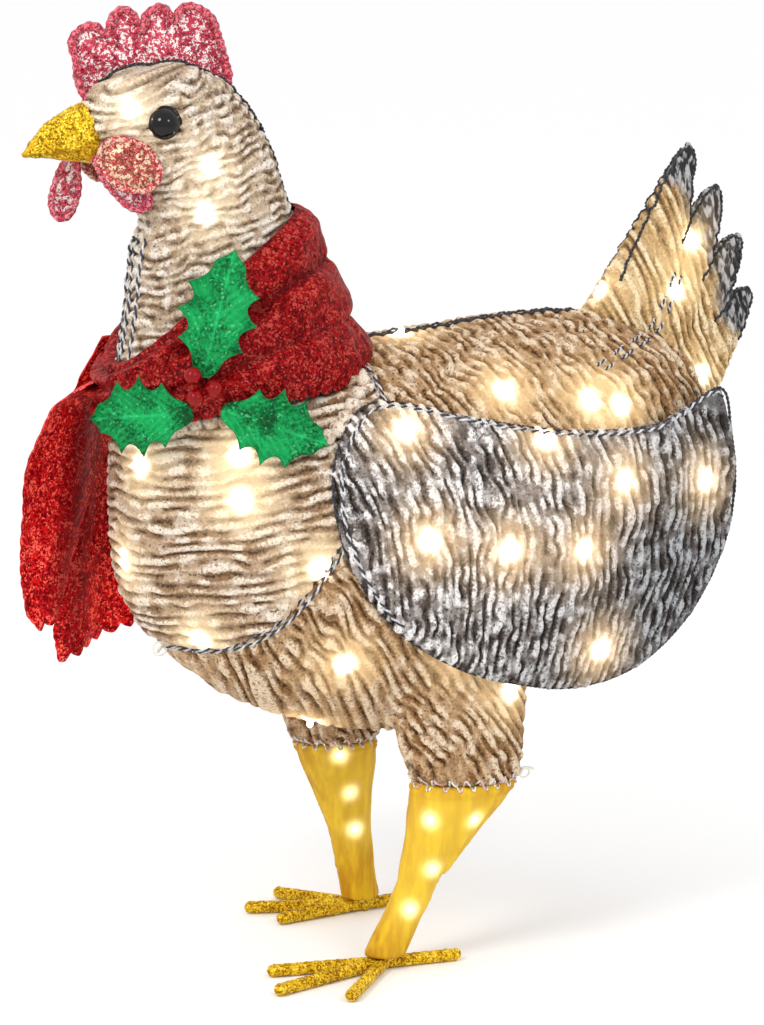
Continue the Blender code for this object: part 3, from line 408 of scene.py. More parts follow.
tail = skin_over("tail", "tail_cloth", 0.0018, 6)
co = points_of(tail)
across = co[:, 1] + 0.25 * co[:, 2] - 0.8 * np.maximum(0, 0.56 - co[:, 2]) ** 2
wind_cloth(tail, across, co[:, 2] + co[:, 0], 0.0074, 0.0028, 23, 0.5, 0.013, 0.6)
light_both_sides(tail, 0.7)
near_tip = np.min([np.hypot(co[:, 1] - y - MIDLINE.y, co[:, 2] - z) for y, z in FEATHER_TIPS], axis=0)
mark_points(tail, tip=np.clip((TIP_DARK - near_tip) / 0.016, 0, 1))
golden = wound_finish("wound_tail_cloth", ((0.66, 0.46, 0.23), (0.86, 0.71, 0.47)),
                      (0.29, 0.150, 0.050), (0.050, 0.024, 0.010), (0.95, 0.66, 0.30))
streak = golden.rise(golden.noise(240, 2, golden.place((1.0, 1.0, 0.35))), 0.44, 0.60)
charcoal = golden.blend(streak, (0.030, 0.030, 0.034), (0.46, 0.45, 0.45))
ragged = golden.node("Clamp", (), {"Value": golden.mark("tip") * 1.6 - golden.noise(120) * 0.6})
golden.surface(base_color=golden.blend(ragged, golden.tint, charcoal))
dress(tail, golden, "tail")


# Breast panel: cream cloth in level rows of soft puffs, wound round its own wire frame.
# Along its top edge, under the holly, the cloth stands in a row of small round puffs, each
# drawn in by the stitches that close the panel.
TOP_EDGE = ((-0.232, 0.434), (-0.225, 0.437), (-0.205, 0.442), (-0.190, 0.448), (-0.170, 0.450),
            (-0.150, 0.444), (-0.130, 0.437), (-0.112, 0.434), (-0.094, 0.438), (-0.080, 0.449),
            (-0.068, 0.462), (-0.056, 0.474))
PUFF_STEP = 0.0108
PUFF_SIZE = (0.0064, 0.0066, 0.0052)
PUFF_RINGS, PUFF_SIDES = 8, 16
SIDE_REACH = 0.4

breast = skin_over("breast", "breast_cloth", 0.0021, 8)
co = points_of(breast)
along = np.arctan2(co[:, 0] - MID_X, -0.045 - co[:, 1]) * 0.12
wind_cloth(breast, co[:, 2] - 0.16 * co[:, 1], along, 0.0088, 0.0036, 37, 0.36, 0.0100, 0.58)
light_both_sides(breast)
cream = wound_finish("cream_breast_cloth", ((0.64, 0.48, 0.34), (0.87, 0.77, 0.65)),
                     (0.29, 0.165, 0.085), (0.060, 0.034, 0.022), (0.96, 0.76, 0.46))
dress(breast, cream, "breast")


def add_mesh(name, verts, faces, **marks):
    mesh = bpy.data.meshes.new(name)
    mesh.from_pydata([tuple(v) for v in verts], [], [tuple(int(i) for i in f) for f in faces])
    shape = bmesh.new()
    shape.from_mesh(mesh)
    bmesh.ops.recalc_face_normals(shape, faces=shape.faces)
    shape.to_mesh(mesh)
    shape.free()
    mesh.polygons.foreach_set("use_smooth", [True] * len(mesh.polygons))
    obj = link(bpy.data.objects.new(name, mesh))
    mark_points(obj, **marks)
    return obj


def gathered(name, parts, **marks):
    """One mesh of several (points, faces) parts; a mark has one number or array to a part."""
    faces = []
    start = 0
    for points, rows in parts:
        faces += [tuple(start + i for i in row) for row in rows]
        start += len(points)
    filled = {key: np.concatenate([np.full(len(part[0]), value) for part, value in zip(parts, values)])
              for key, values in marks.items()}
    return add_mesh(name, np.concatenate([part[0] for part in parts]), faces, **filled)


def hooped(rings, sides, closed=False):
    """Faces that join ring after ring of points, with a cap at each open end."""
    faces = [(k * sides + i, k * sides + (i + 1) % sides,
              (k + 1) % rings * sides + (i + 1) % sides, (k + 1) % rings * sides + i)
             for k in range(rings if closed else rings - 1) for i in range(sides)]
    if not closed:
        faces += [tuple(range(sides)), tuple(range((rings - 1) * sides, rings * sides))]
    return faces


def eased(points, steps, closed=True):
    """Smooth line through the points, as an array."""
    p = np.array(points, float)
    count = len(p)
    out = []
    for i in range(count if closed else count - 1):
        pick = [(i + k) % count if closed else min(max(i + k, 0), count - 1) for k in (-1, 0, 1, 2)]
        a, b, c, d = p[pick]
        for k in range(steps):
            t = k / steps
            out.append(0.5 * (2 * b + (c - a) * t + (2 * a - 5 * b + 4 * c - d) * t * t
                              + (3 * b - a - 3 * c + d) * t ** 3))
    if not closed:
        out.append(p[-1])
    return np.array(out)


def evened(line, step, closed=True):
    """The same line with points at an even spacing."""
    path = np.vstack([line, line[:1]]) if closed else line
    run = np.concatenate([[0], np.cumsum(np.linalg.norm(np.diff(path, axis=0), axis=1))])
    count = max(int(round(run[-1] / step)), 4)
    at = np.linspace(0, run[-1], count + 1)
    out = np.stack([np.interp(at, run, path[:, c]) for c in range(path.shape[1])], axis=-1)
    return out[:-1] if closed else out


def skin_tree(*pieces):
    """Search tree over the finished cloth of the pieces."""
    verts, faces = [], []
    for piece in pieces:
        start = len(verts)
        verts += [v.co.copy() for v in piece.data.vertices]
        faces += [tuple(start + i for i in face.vertices) for face in piece.data.polygons]
    return BVHTree.FromPolygons(verts, faces)


def from_side(tree, y, z, side):
    """Where a line from one side of the hen meets the cloth, and the cloth's normal there."""
    return tree.ray_cast(Vector((MID_X + side * SIDE_REACH, y, z)), Vector((-side, 0, 0)))[:2]


def puff(spot, out, number, size):
    """Points of one round puff, with a slightly gathered rim."""
    flat = Vector((0, 0, 1)).cross(out).normalized()
    up = out.cross(flat)
    verts = []
    for k in range(1, PUFF_RINGS + 1):
        a = math.pi * k / (PUFF_RINGS + 1)
        for j in range(PUFF_SIDES):
            b = 2 * math.pi * j / PUFF_SIDES
            pull = 1 + 0.07 * math.sin(5 * b + number)
            verts.append(spot + out * (math.cos(a) * PUFF_SIZE[2] - 0.0004)
                         + (flat * math.cos(b) * PUFF_SIZE[0] + up * math.sin(b) * PUFF_SIZE[1])
                         * (math.sin(a) * pull * size))
    return np.array([tuple(v) for v in verts])


breast_skin = skin_tree(breast)
puffs = []
for side in (1, -1):
    for i, (y, z) in enumerate(evened(eased(TOP_EDGE, 10, False), PUFF_STEP, False)):
        spot, normal = from_side(breast_skin, y, z, side)
        if spot is not None:
            out = (normal + Vector((side * 0.8, -0.3, 0.2))).normalized()
            size = 0.9 + 0.2 * float(scattered(np.array([i]), np.array([side]), 7)[0])
            puffs.append((puff(spot, out, i, size), hooped(PUFF_RINGS, PUFF_SIDES)))
# Each puff takes the groove colours toward its base, as painted shade where it meets the cloth.
depth = np.repeat(np.arange(1, PUFF_RINGS + 1) / (PUFF_RINGS + 1), PUFF_SIDES)
fall = 0.5 - 0.42 * np.clip((depth - 0.42) * 3.2, 0, 1)
puff_row = gathered("breast_puffs", puffs, row=[fall] * len(puffs))
mark_points(puff_row, gap=0.9, puff=0.6)
light_both_sides(puff_row, 0.3, "breast_cloth")
dress(puff_row, cream)


# Head and neck: the same cream cloth, paler and in finer rows that rise toward the nape,
# wound round a wire frame of its own.
head = skin_over("head_and_neck", "head_cloth", 0.0020, 8)
co = points_of(head)
along = np.arctan2(co[:, 0] - MID_X, -0.165 - co[:, 1]) * 0.062
wind_cloth(head, co[:, 2] - 0.24 * co[:, 1], along, 0.0080, 0.0028, 51, 0.45, 0.0090, 0.52)
light_both_sides(head, 0.55)
pale_cream = wound_finish("cream_head_cloth", ((0.70, 0.57, 0.42), (0.87, 0.79, 0.69)),
                          (0.32, 0.205, 0.125), (0.060, 0.045, 0.034), (0.96, 0.80, 0.56))
dress(head, pale_cream, "head_and_neck")


# Wings: grey and white cloth wound upright on a flat bowed frame, with painted shade toward
# the rear and low down, and painted lamp light warming the colour near the lamps.
grey = wound_finish("grey_wing_cloth", ((0.40, 0.36, 0.34), (0.94, 0.91, 0.90)),
                    (0.085, 0.066, 0.058), (0.010, 0.009, 0.011), (0.88, 0.56, 0.26), 120.0)
# Painted shade: the wing is darkened toward the rear and low down, less so near the lamps.
shadow = grey.mark("rear") * (1 - 0.9 * grey.mark("halo"))
grey.surface(base_color=grey.blend(shadow, grey.tint, (0.50, 0.53, 0.56), "MULTIPLY"))
for side, node in ((1, "wing_left"), (-1, "wing_right")):
    wing = skin_over(node, node + "_cloth", 0.0024, 5)
    co = points_of(wing)
    across = co[:, 1] + 1.5 * (co[:, 2] - 0.33) ** 2 - 1.2 * (co[:, 1] - 0.06) * (co[:, 2] - 0.36)
    wind_cloth(wing, across, co[:, 2], 0.0082, 0.0034, 67 + side, 0.5, 0.0095, 0.56)
    # How much painted shade each point takes, more toward the rear and low down.
    mark_points(wing, rear=np.clip((co[:, 1] - 0.02) / 0.16 + (0.31 - co[:, 2]) / 0.25, 0, 1))
    spots = LAMPS["wing_left_cloth"]
    light_up(wing, spots if side > 0 else twins(spots))
    dress(wing, grey, node)


# Scarf: deep red glitter cloth, wound once round the foot of the neck, gathered in a knot
# under the holly and left to hang in two ends on the right side. Its edges are pinked.
SCARF_THICKNESS = 0.0034
WRAP_TOP = (-0.131, 0.138, 0.116, 0.553, 0.059, 0.006)
WRAP_LOW = (-0.109, 0.208, 0.190, 0.459, 0.0155, 0.004)
KNOT = Vector((0.069, -0.163, 0.468))
KNOT_TURN = 2.05
# The two hanging ends from the top down: the front edge's place, then the rear edge's.
OUTER_END = (
    (0.006, -0.204, 0.480, -0.052, -0.186, 0.480), (-0.008, -0.228, 0.468, -0.074, -0.190, 0.462),
    (-0.024, -0.250, 0.450, -0.096, -0.178, 0.440), (-0.033, -0.266, 0.415, -0.108, -0.166, 0.405),
    (-0.036, -0.272, 0.375, -0.114, -0.160, 0.380), (-0.037, -0.275, 0.340, -0.113, -0.164, 0.358),
    (-0.037, -0.275, 0.308, -0.106, -0.176, 0.340), (-0.040, -0.268, 0.282, -0.092, -0.198, 0.318),
    (-0.046, -0.258, 0.274, -0.076, -0.220, 0.296),
)
INNER_END = (
    (-0.056, -0.200, 0.500, -0.086, -0.150, 0.500), (-0.066, -0.228, 0.440, -0.116, -0.150, 0.440),
    (-0.070, -0.238, 0.380, -0.124, -0.150, 0.380), (-0.070, -0.241, 0.320, -0.124, -0.152, 0.325),
    (-0.068, -0.240, 0.270, -0.114, -0.154, 0.287), (-0.066, -0.238, 0.243, -0.106, -0.158, 0.264),
)


def unit(rows):
    return rows / np.maximum(np.linalg.norm(rows, axis=-1, keepdims=True), 1e-9)


def shell(outer, inner, ring=False):
    """Closed sheet between two grids of points; a ring joins its last row to its first."""
    rows, width = outer.shape[:2]
    total = rows * width
    spot = np.arange(total).reshape(rows, width)
    ahead = np.roll(spot, -1, axis=0)
    a, b = (spot, ahead) if ring else (spot[:-1], ahead[:-1])
    quads = np.stack([a[:, :-1], a[:, 1:], b[:, 1:], b[:, :-1]], axis=-1).reshape(-1, 4)
    faces = [*quads, *(quads[:, ::-1] + total)]
    rims = [(a[:, i], b[:, i]) for i in (0, width - 1)]
    if not ring:
        rims += [(spot[k, :-1], spot[k, 1:]) for k in (0, rows - 1)]
    for near, far in rims:
        faces += list(np.stack([near, far, far + total, near + total], axis=-1))
    return np.concatenate([outer.reshape(-1, 3), inner.reshape(-1, 3)]), faces


def both_sides(values):
    return np.tile(np.ravel(values), 2)


def wrap_edge(angle, centre_y, depth, width, height, slope, dip):
    """Points of the scarf's upper or lower edge; angle 0 is at the back."""
    c = np.cos(angle)
    return np.stack([
        width / 2 * np.sin(angle) + MIDLINE.x,
        centre_y + depth / 2 * c + MIDLINE.y,
        height + slope * c - dip * np.cos(2 * angle),
    ], axis=-1)


def pinked(along):
    """Small scallops cut along an edge, one to each unit."""
    return np.abs(np.sin(np.pi * along))


def cloth_thickness(share):
    """Thickness across the scarf, rounded off at both edges."""
    return SCARF_THICKNESS * (1 - (2 * share - 1) ** 8) ** 0.5 + 0.0006


def make_wrap():
    turns, width = 380, 54
    angle = np.linspace(0, 2 * np.pi, turns, endpoint=False)[:, None]
    share = np.linspace(0, 1, width)[None, :]
    top = wrap_edge(angle, *WRAP_TOP)
    run = wrap_edge(angle, *WRAP_LOW) - top
    around = np.stack([np.cos(angle), -np.sin(angle), 0 * angle], axis=-1)
    out = unit(np.cross(run, around))
    out *= np.sign(out[..., 0:1] * np.sin(angle)[..., None] + out[..., 1:2] * np.cos(angle)[..., None])
    fall = share + (0.035 * pinked(angle / (2 * np.pi) * 54) - 0.02) * share ** 6
    back = 0.5 + 0.5 * np.cos(angle)
    swell = (0.013 - 0.009 * back) * np.sin(np.pi * share) ** 0.6
    roll = (0.002 + 0.009 * back ** 1.5) * np.abs(np.sin(np.pi * 3 * share + 0.25 * np.sin(angle))) ** 0.75
    knot_way = np.exp(-((angle - KNOT_TURN) / 0.60) ** 2)
    fold = np.sin(2 * np.pi * (3.6 * share - 1.1 * angle / np.pi) + 0.8)
    fold = 0.0042 * (1 - 0.5 * back) * (1 - 0.6 * knot_way) * fold
    pleat = 0.0022 * knot_way * np.sin(2 * np.pi * 5.2 * share + 0.5)
    crumple = 0.0030 * (drift(angle * 9, share * 6, 5) - 0.5)
    crumple = crumple + 0.0016 * (drift(angle * 26, share * 17, 6) - 0.5)
    lift = swell + roll + (fold + pleat) * np.sin(np.pi * share) ** 0.5 + crumple + 0.001
    outer = top + run * fall[..., None] + out * lift[..., None]
    # The shade numbers are painted shade: darker in the troughs of the folds, roll and pleats, and toward the
    # back.
    shade = np.clip(0.5 + (fold + pleat + roll - 0.002 - 0.005 * back) / 0.014, 0, 1)
    return shell(outer, outer - out * cloth_thickness(share)[..., None], True), both_sides(shade)


def make_end(rows, phase, waves):
    """One hanging end: front and rear edges from the table, with long folds between."""
    steps, width = 100, 50
    at = np.linspace(0, len(rows) - 1, steps)
    smooth = np.stack([np.interp(at, np.arange(len(rows)), edge) for edge in np.transpose(rows)], axis=-1)
    for _ in range(12):
        smooth[1:-1] = (smooth[:-2] + smooth[1:-1] * 2 + smooth[2:]) / 4
    front, rear = (smooth[:, None, i:i + 3] + np.array(MIDLINE) for i in (0, 3))
    down = np.linspace(0, 1, steps)[:, None]
    share = np.linspace(0, 1, width)[None, :]
    run = rear - front
    face = unit(np.stack([-run[..., 1], run[..., 0], 0 * run[..., 0]], axis=-1))
    hem = np.stack([0 * share, 0 * share, -0.007 * pinked(share * 6 + 0.3)], axis=-1)
    hem = hem * (down ** 10)[..., None]
    lean = share + 0.012 * (pinked(down * 22) - 0.5) * (2 * share - 1) ** 5
    fold = 0.0052 * np.sin(np.pi * (waves * share + phase + 0.5 * down)) * np.sin(np.pi * share) ** 0.4
    crumple = 0.0034 * (drift(down * 9, share * 5, 15) - 0.5)
    crumple = crumple + 0.0015 * (drift(down * 30, share * 14, 16) - 0.5)
    middle = front + run * lean[..., None] + face * (fold + crumple)[..., None] + hem
    half = face * cloth_thickness(share)[..., None] / 2
    # The last numbers are painted shade, darker in the folds' troughs.
    return shell(middle + half, middle - half), both_sides(np.clip(0.5 + fold / 0.010, 0, 1))


def make_knot():
    """Cloth drawn together under the holly in small radial pleats."""
    steps, width = 80, 24
    out = np.array(Vector((0.88, -0.46, 0.05)).normalized())
    side = unit(np.cross(out, np.array((0.0, 0.0, 1.0))))
    up = np.cross(side, out)
    turn = np.linspace(0, 2 * np.pi, steps, endpoint=False)[:, None]
    rise = np.linspace(0.02, 0.98, width)[None, :] * np.pi
    pleat = 1 + 0.10 * np.sin(turn * 11 + 1.5 * np.sin(turn * 2)) + 0.05 * np.sin(turn * 5)
    reach = 0.0185 * np.sin(rise) ** 0.8 * pleat
    spot = (np.cos(turn) * reach)[..., None] * side + (np.sin(turn) * reach * 0.95)[..., None] * up
    spot = spot - (np.cos(rise) * 0.0165 * np.ones_like(turn))[..., None] * out
    centre = np.array(KNOT + MIDLINE)
    # The pleats' troughs get painted shade.
    shade = np.clip((pleat - 0.85) / 0.3, 0, 1) + 0 * rise
    return shell(centre + spot, centre + spot * 0.82, True), both_sides(shade)


def glitter(name, base, bright, dark, size, share, metal):
    """Cloth sprinkled with glitter: each grain has its own tone and tilt, and the brightest grains are
    painted glints.
    """
    made = Finish(name)
    grain = made.flakes(1 / size)
    patch = made.rise(made.noise(45), 0.35, 0.65)
    pick = grain * 0.62 + made.flakes(0.37 / size) * 0.26 + patch * 0.12
    # The bright colour on the top grains is painted glint.
    tint = made.blend(made.rise(pick, 1 - share, 1 - share * 0.72), base, bright)
    return made.surface(
        base_color=made.blend(made.rise(pick, share * 1.25, share * 0.85), tint, dark),
        roughness=0.5 + (grain - 0.5) * 0.3,
        metallic=made.rise(pick, 0.55, 0.75) * metal,
        specular_ior_level=0.07,
        normal=made.grain(pick + made.noise(900) * 0.3, 0.0010, 0.7),
    )


cloths, folds = zip(make_wrap(), make_end(OUTER_END, 0.2, 2.6), make_end(INNER_END, 0.7, 2.2), make_knot())
scarf = gathered("scarf_cloth", cloths, fold=folds, worn=(0.9, 0.0, 0.0, 1.0))
red = glitter("red_glitter_cloth", (0.62, 0.007, 0.010), (1.0, 0.14, 0.10), (0.17, 0.0, 0.003),
              0.0015, 0.36, 0.06)
# Painted shade: darker in the folds' troughs, and darker over the wrap and knot than over the two ends.
shaded = red.blend(red.rise(red.mark("fold"), 0.42, 0.05) * 0.5, red.tint, (0.09, 0.0, 0.002))
red.surface(base_color=red.blend(red.mark("worn"), shaded, (0.37, 0.31, 0.33), "MULTIPLY"))
dress(scarf, red, "scarf")


# Comb: glitter net over a bent wire outline, stitched along the crown of the head with a
# black cord. The rim is wound thick; threads cross in the middle over a pale veil.
COMB_LINE = (
    (-0.218, 0.690), (-0.234, 0.7246), (-0.236, 0.7396), (-0.226, 0.7484), (-0.216, 0.7474),
    (-0.209, 0.7415), (-0.204, 0.7552), (-0.196, 0.7610), (-0.187, 0.7552), (-0.181, 0.7433),
    (-0.177, 0.7562), (-0.167, 0.7620), (-0.160, 0.7581), (-0.155, 0.7501), (-0.150, 0.7590),
    (-0.141, 0.7620), (-0.129, 0.7562), (-0.120, 0.7406), (-0.118, 0.690),
)
COMB_RIM = 0.0033
NET_THREAD = 0.00075
NET_STEP = 0.0014
THREAD_REACH = 0.012
VEIL_HALF = 0.0007


def flat_place(origin, along, normal):
    """Function that turns (u along, v across, w off the face) into a point of the hen."""
    u_way = Vector(along).normalized()
    w_way = (Vector(normal) - u_way * Vector(normal).dot(u_way)).normalized()
    v_way = w_way.cross(u_way)
    start = Vector(origin) + MIDLINE
    return lambda u, v, w: start + u_way * u + v_way * v + w_way * w


def square_to(way, up, spare, least):
    """Two ways square to a path's own, from an up way or, where that lies along it, a spare."""
    side = np.cross(way, np.broadcast_to(up, way.shape))
    short = np.linalg.norm(side, axis=1) < least
    side[short] = np.cross(way[short], spare)
    side = unit(side)
    return side, np.cross(side, way)


def tube(path, radius, sides=8, closed=False, up=(0.0, 0.0, 1.0)):
    """Points and faces of a closed tube along a path; the radius may be an array."""
    path = np.asarray(path, float)
    way = unit(np.roll(path, -1, axis=0) - np.roll(path, 1, axis=0) if closed else np.gradient(path, axis=0))
    side, lift = square_to(way, up, (0.0, 1.0, 0.0), 0.2)
    turn = np.linspace(0, 2 * np.pi, sides, endpoint=False)
    reach = np.broadcast_to(radius, (len(path),))[:, None, None]
    ring = np.cos(turn)[None, :, None] * side[:, None] + np.sin(turn)[None, :, None] * lift[:, None]
    return (path[:, None] + ring * reach).reshape(-1, 3), hooped(len(path), sides, closed)


def inside(line, u, v):
    """Whether a point lies within a closed line."""
    a, b = line, np.roll(line, -1, axis=0)
    crossing = (a[:, 1] > v) != (b[:, 1] > v)
    at = a[:, 0] + (v - a[:, 1]) / np.where(crossing, b[:, 1] - a[:, 1], 1.0) * (b[:, 0] - a[:, 0])
    return bool(np.count_nonzero(crossing & (at > u)) % 2)


def netted(name, line, place, rim, threads, seed):
    """Wound rim, crossing threads and a thin veil, over a flat outline."""
    rng = np.random.default_rng(seed)
    off_face = place(0, 0, 1) - place(0, 0, 0)
    rim_line = evened(line, NET_STEP)
    turn = np.arange(len(rim_line))
    bulge = rim * (1 + 0.13 * np.sin(turn * 1.35) + 0.10 * np.sin(turn * 0.37))
    path = [place(u, v, w) for (u, v), w in zip(rim_line, 0.0003 * np.sin(turn * 0.9))]
    parts = [tube(path, bulge, 8, True, off_face)]
    low, high = rim_line.min(0), rim_line.max(0)
    while len(parts) <= threads:
        spot = low + (high - low) * rng.random(2)
        if not inside(rim_line, *spot):
            continue
        angle = rng.random() * 2 * math.pi
        bend = (rng.random() - 0.5) * 90
        layer = (rng.random() - 0.5) * 0.0034
        spots = []
        for k in range(int(THREAD_REACH / NET_STEP * (0.5 + rng.random()))):
            if not inside(rim_line, *spot):
                break
            spots.append(place(*spot, layer + 0.0008 * math.sin(k * 0.9 + seed)))
            angle += bend * NET_STEP
            spot = spot + NET_STEP * np.array((math.cos(angle), math.sin(angle)))
        if len(spots) > 3:
            parts.append(tube(spots, NET_THREAD * (0.7 + 0.7 * rng.random()), 4, False, off_face))
    veil = [place(u, v, w) for w in (VEIL_HALF, -VEIL_HALF) for u, v in rim_line[::2]]
    total = len(veil) // 2
    faces = [tuple(range(total)), tuple(range(total, 2 * total))]
    faces += [(i, (i + 1) % total, total + (i + 1) % total, total + i) for i in range(total)]
    return gathered(name, [*parts, (np.array(veil), faces)], kind=[0.0] + [1.0] * threads + [2.0])


def shade_of(colour, by, plus=0.0):
    return [min(1.0, c * by + plus) for c in colour]


def net_finish(name, rim, thread, veil, speck, flecked, bare):
    """Crimson rim and threads of glitter, over a pale veil that shows bare in places."""
    made = Finish(name)
    grain = made.flakes(900.0)
    coarse = made.noise(330, 3)
    kind = made.mark("kind")
    rim_tint = made.blend(made.rise(grain, 0.30, 0.75), shade_of(rim, 0.45), shade_of(rim, 1.7, 0.02))
    rim_tint = made.blend(made.rise(coarse + grain * 0.2, 0.58, 0.66) * flecked, rim_tint, veil)
    thread_tint = made.blend(made.rise(grain, 0.25, 0.8), shade_of(thread, 0.4), shade_of(thread, 1.5, 0.03))
    pale = made.blend(made.rise(coarse + grain * 0.25, bare, bare + 0.10), veil, thread)
    pale = made.blend(made.rise(grain + coarse * 0.5, 0.36, 0.30), pale, speck)
    tint = made.blend(made.rise(kind, 0.45, 0.55), rim_tint, thread_tint)
    return made.surface(
        base_color=made.blend(made.rise(kind, 1.45, 1.55), tint, pale),
        roughness=0.62 - grain * 0.28,
        metallic=made.rise(grain, 0.5, 0.8) * 0.2,
        normal=made.grain(grain + coarse, 0.0006, 0.8),
    )


crimson = net_finish("crimson_glitter_net", (0.42, 0.010, 0.040), (0.46, 0.016, 0.055),
                     (0.92, 0.76, 0.74), (0.20, 0.04, 0.04), 0.15, 0.56)
upright = flat_place((0, 0, 0), (0, 1, 0), (1, 0, 0))
dress(netted("comb_net", eased(COMB_LINE, 5), upright, COMB_RIM, 330, 3), crimson, "comb")


# Cheek patches and wattles: the same net on smaller wire outlines. The cheeks lie on the
# face behind the beak; the two wattles hang free below it.
PATCH_RIM = 0.0026
CHEEK_HALF = (0.0270, 0.0205)
WATTLE_HALF = 0.015
# Each wattle's top, its length, the way it hangs and the way it faces.
WATTLES = (
    ("wattle_left", (0.020, -0.227, 0.651), 0.060, (0.20, 0.71, -0.71), (0.93, -0.33, 0.0)),
    ("wattle_right", (-0.014, -0.2325, 0.6535), 0.058, (-0.10, -0.18, -0.97), (0.97, -0.20, 0.0)),
)

warm_net = net_finish("warm_glitter_net", (0.42, 0.012, 0.035), (0.45, 0.050, 0.040),
                      (0.88, 0.68, 0.46), (0.24, 0.10, 0.03), 0.65, 0.62)
pale_net = net_finish("pale_glitter_net", (0.44, 0.012, 0.045), (0.52, 0.035, 0.075),
                      (0.94, 0.82, 0.80), (0.30, 0.12, 0.10), 0.25, 0.66)
turn = np.linspace(0, 2 * np.pi, 60, endpoint=False)
oval = np.stack([(CHEEK_HALF[0] - PATCH_RIM) * np.cos(turn),
                 (CHEEK_HALF[1] - PATCH_RIM) * np.sin(turn)], axis=-1)
for side, node in ((1, "cheek_left"), (-1, "cheek_right")):
    place = flat_place((side * 0.0385, -0.2034, 0.6455), (side * 0.30, 0.80, -0.50),
                       (side * 0.92, -0.38, 0.02))
    cheek = netted(node + "_net", oval, place, PATCH_RIM, 110, 20 + side)
    dress(cheek, warm_net, node)
share = (1 - np.cos(turn)) / 2
half = np.sin(turn) * (WATTLE_HALF - PATCH_RIM) * (0.40 + 0.60 * share ** 0.8)
for node, top, length, along, face in WATTLES:
    drop = np.stack([PATCH_RIM + share * (length - 2 * PATCH_RIM), half], axis=-1)
    wattle = netted(node + "_net", drop, flat_place(top, along, face), PATCH_RIM, 60, 31)
    dress(wattle, pale_net, node)


# Beak: a cone of yellow glitter cloth drawn tight over wire, with a fold along the mouth.
# Its underside has taken on an orange tone.
BEAK_LENGTH = 0.062
MOUTH_HEIGHT, MOUTH_DROP, MOUTH_HALF = 0.6565, 0.006, 0.0016

beak = skin_over("beak", "beak_cloth", 0.0013, 4)
co = points_of(beak)
tip_share = np.clip((middle_of("beak").y + BEAK_LENGTH / 2 - co[:, 1]) / BEAK_LENGTH, 0, 1)
mouth = np.exp(-((co[:, 2] - (MOUTH_HEIGHT - MOUTH_DROP * tip_share)) / MOUTH_HALF) ** 2)
mouth *= np.clip(tip_share * 3 - 0.4, 0, 1)
lumps = drift(co[:, 1] / 0.004, co[:, 2] / 0.004, 71) - 0.5
lumps += 0.5 * (drift(co[:, 1] / 0.0017, co[:, 2] / 0.0017, 72) - 0.5)
push_out(beak, lumps * 0.0012 - mouth * 0.0011)
mark_points(beak, mouth=mouth, low=np.clip((0.668 - co[:, 2]) / 0.030, 0, 1))
yellow = glitter("yellow_glitter_cloth", (0.62, 0.38, 0.010), (0.90, 0.72, 0.07), (0.22, 0.11, 0.004),
                 0.0013, 0.36, 0.05)
low_share = yellow.mark("low") * yellow.rise(yellow.noise(70), 0.3, 0.6) * 0.55
tint = yellow.blend(low_share, yellow.tint, (0.66, 0.26, 0.006))
# The mouth mark darkens the fold along the mouth with painted shade.
yellow.surface(base_color=yellow.blend(yellow.mark("mouth") * 0.6, tint, (0.16, 0.09, 0.01)))
dress(beak, yellow, "beak")


# Eyes: polished black beads, each in a low black collar that clips it to the cloth.
# Bead and collar are moulded in one hard gloss plastic.
EYE_RADIUS = 0.0126
EYE_SPOT = Vector((0.0395, -0.176, 0.676))
EYE_COLLAR = ((0.0090, -0.0050), (0.0141, -0.0046), (0.0146, -0.0020), (0.0141, 0.0006), (0.0128, 0.0014),
              (0.0090, 0.0006))
COLLAR_LIFT = 0.0010


def lathed(profile, centre, axis, sides):
    """Closed solid turned from a profile of (reach, height) pairs about an axis."""
    axis = Vector(axis).normalized()
    across = axis.cross(Vector((0, 0, 1))).normalized()
    up = across.cross(axis)
    ways = [across * math.cos(angle) + up * math.sin(angle)
            for angle in np.linspace(0, 2 * np.pi, sides, endpoint=False)]
    verts = [tuple(Vector(centre) + axis * height + way * reach) for reach, height in profile for way in ways]
    return np.array(verts), hooped(len(profile), sides)


def bead_profile(radius, start=-0.95, steps=26):
    low = math.asin(start)
    return [(radius * math.cos(a), radius * math.sin(a))
            for a in (low + (math.pi / 2 - 0.03 - low) * i / steps for i in range(steps + 1))]


gloss = Finish("polished_black")
haze = gloss.noise(60, 3)
gloss.surface(
    base_color=gloss.blend(haze, (0.002, 0.002, 0.002), (0.005, 0.004, 0.004)),
    roughness=0.06 + haze * 0.06,
    specular_ior_level=0.30,
    normal=gloss.grain(gloss.noise(45, 1), 0.0002, 0.2),
)
for side, node in ((1, "eye_left"), (-1, "eye_right")):
    out = Vector((side * 0.97, -0.20, 0.06))
    centre = Vector((side * EYE_SPOT.x, EYE_SPOT.y, EYE_SPOT.z)) + MIDLINE
    turned = [lathed(bead_profile(EYE_RADIUS), centre, out, 40),
              lathed(EYE_COLLAR, centre + out * COLLAR_LIFT, out, 40)]
    dress(gathered(node + "_bead", turned), gloss, node)


# Holly: three leaves of green foil cloth, pressed with veins and cut with spines, wired
# under three glossy red berries on the near side of the scarf.
LEAF_SPINES = 4
LEAF_VEINS = 11
LEAF_SHEET = 0.0011
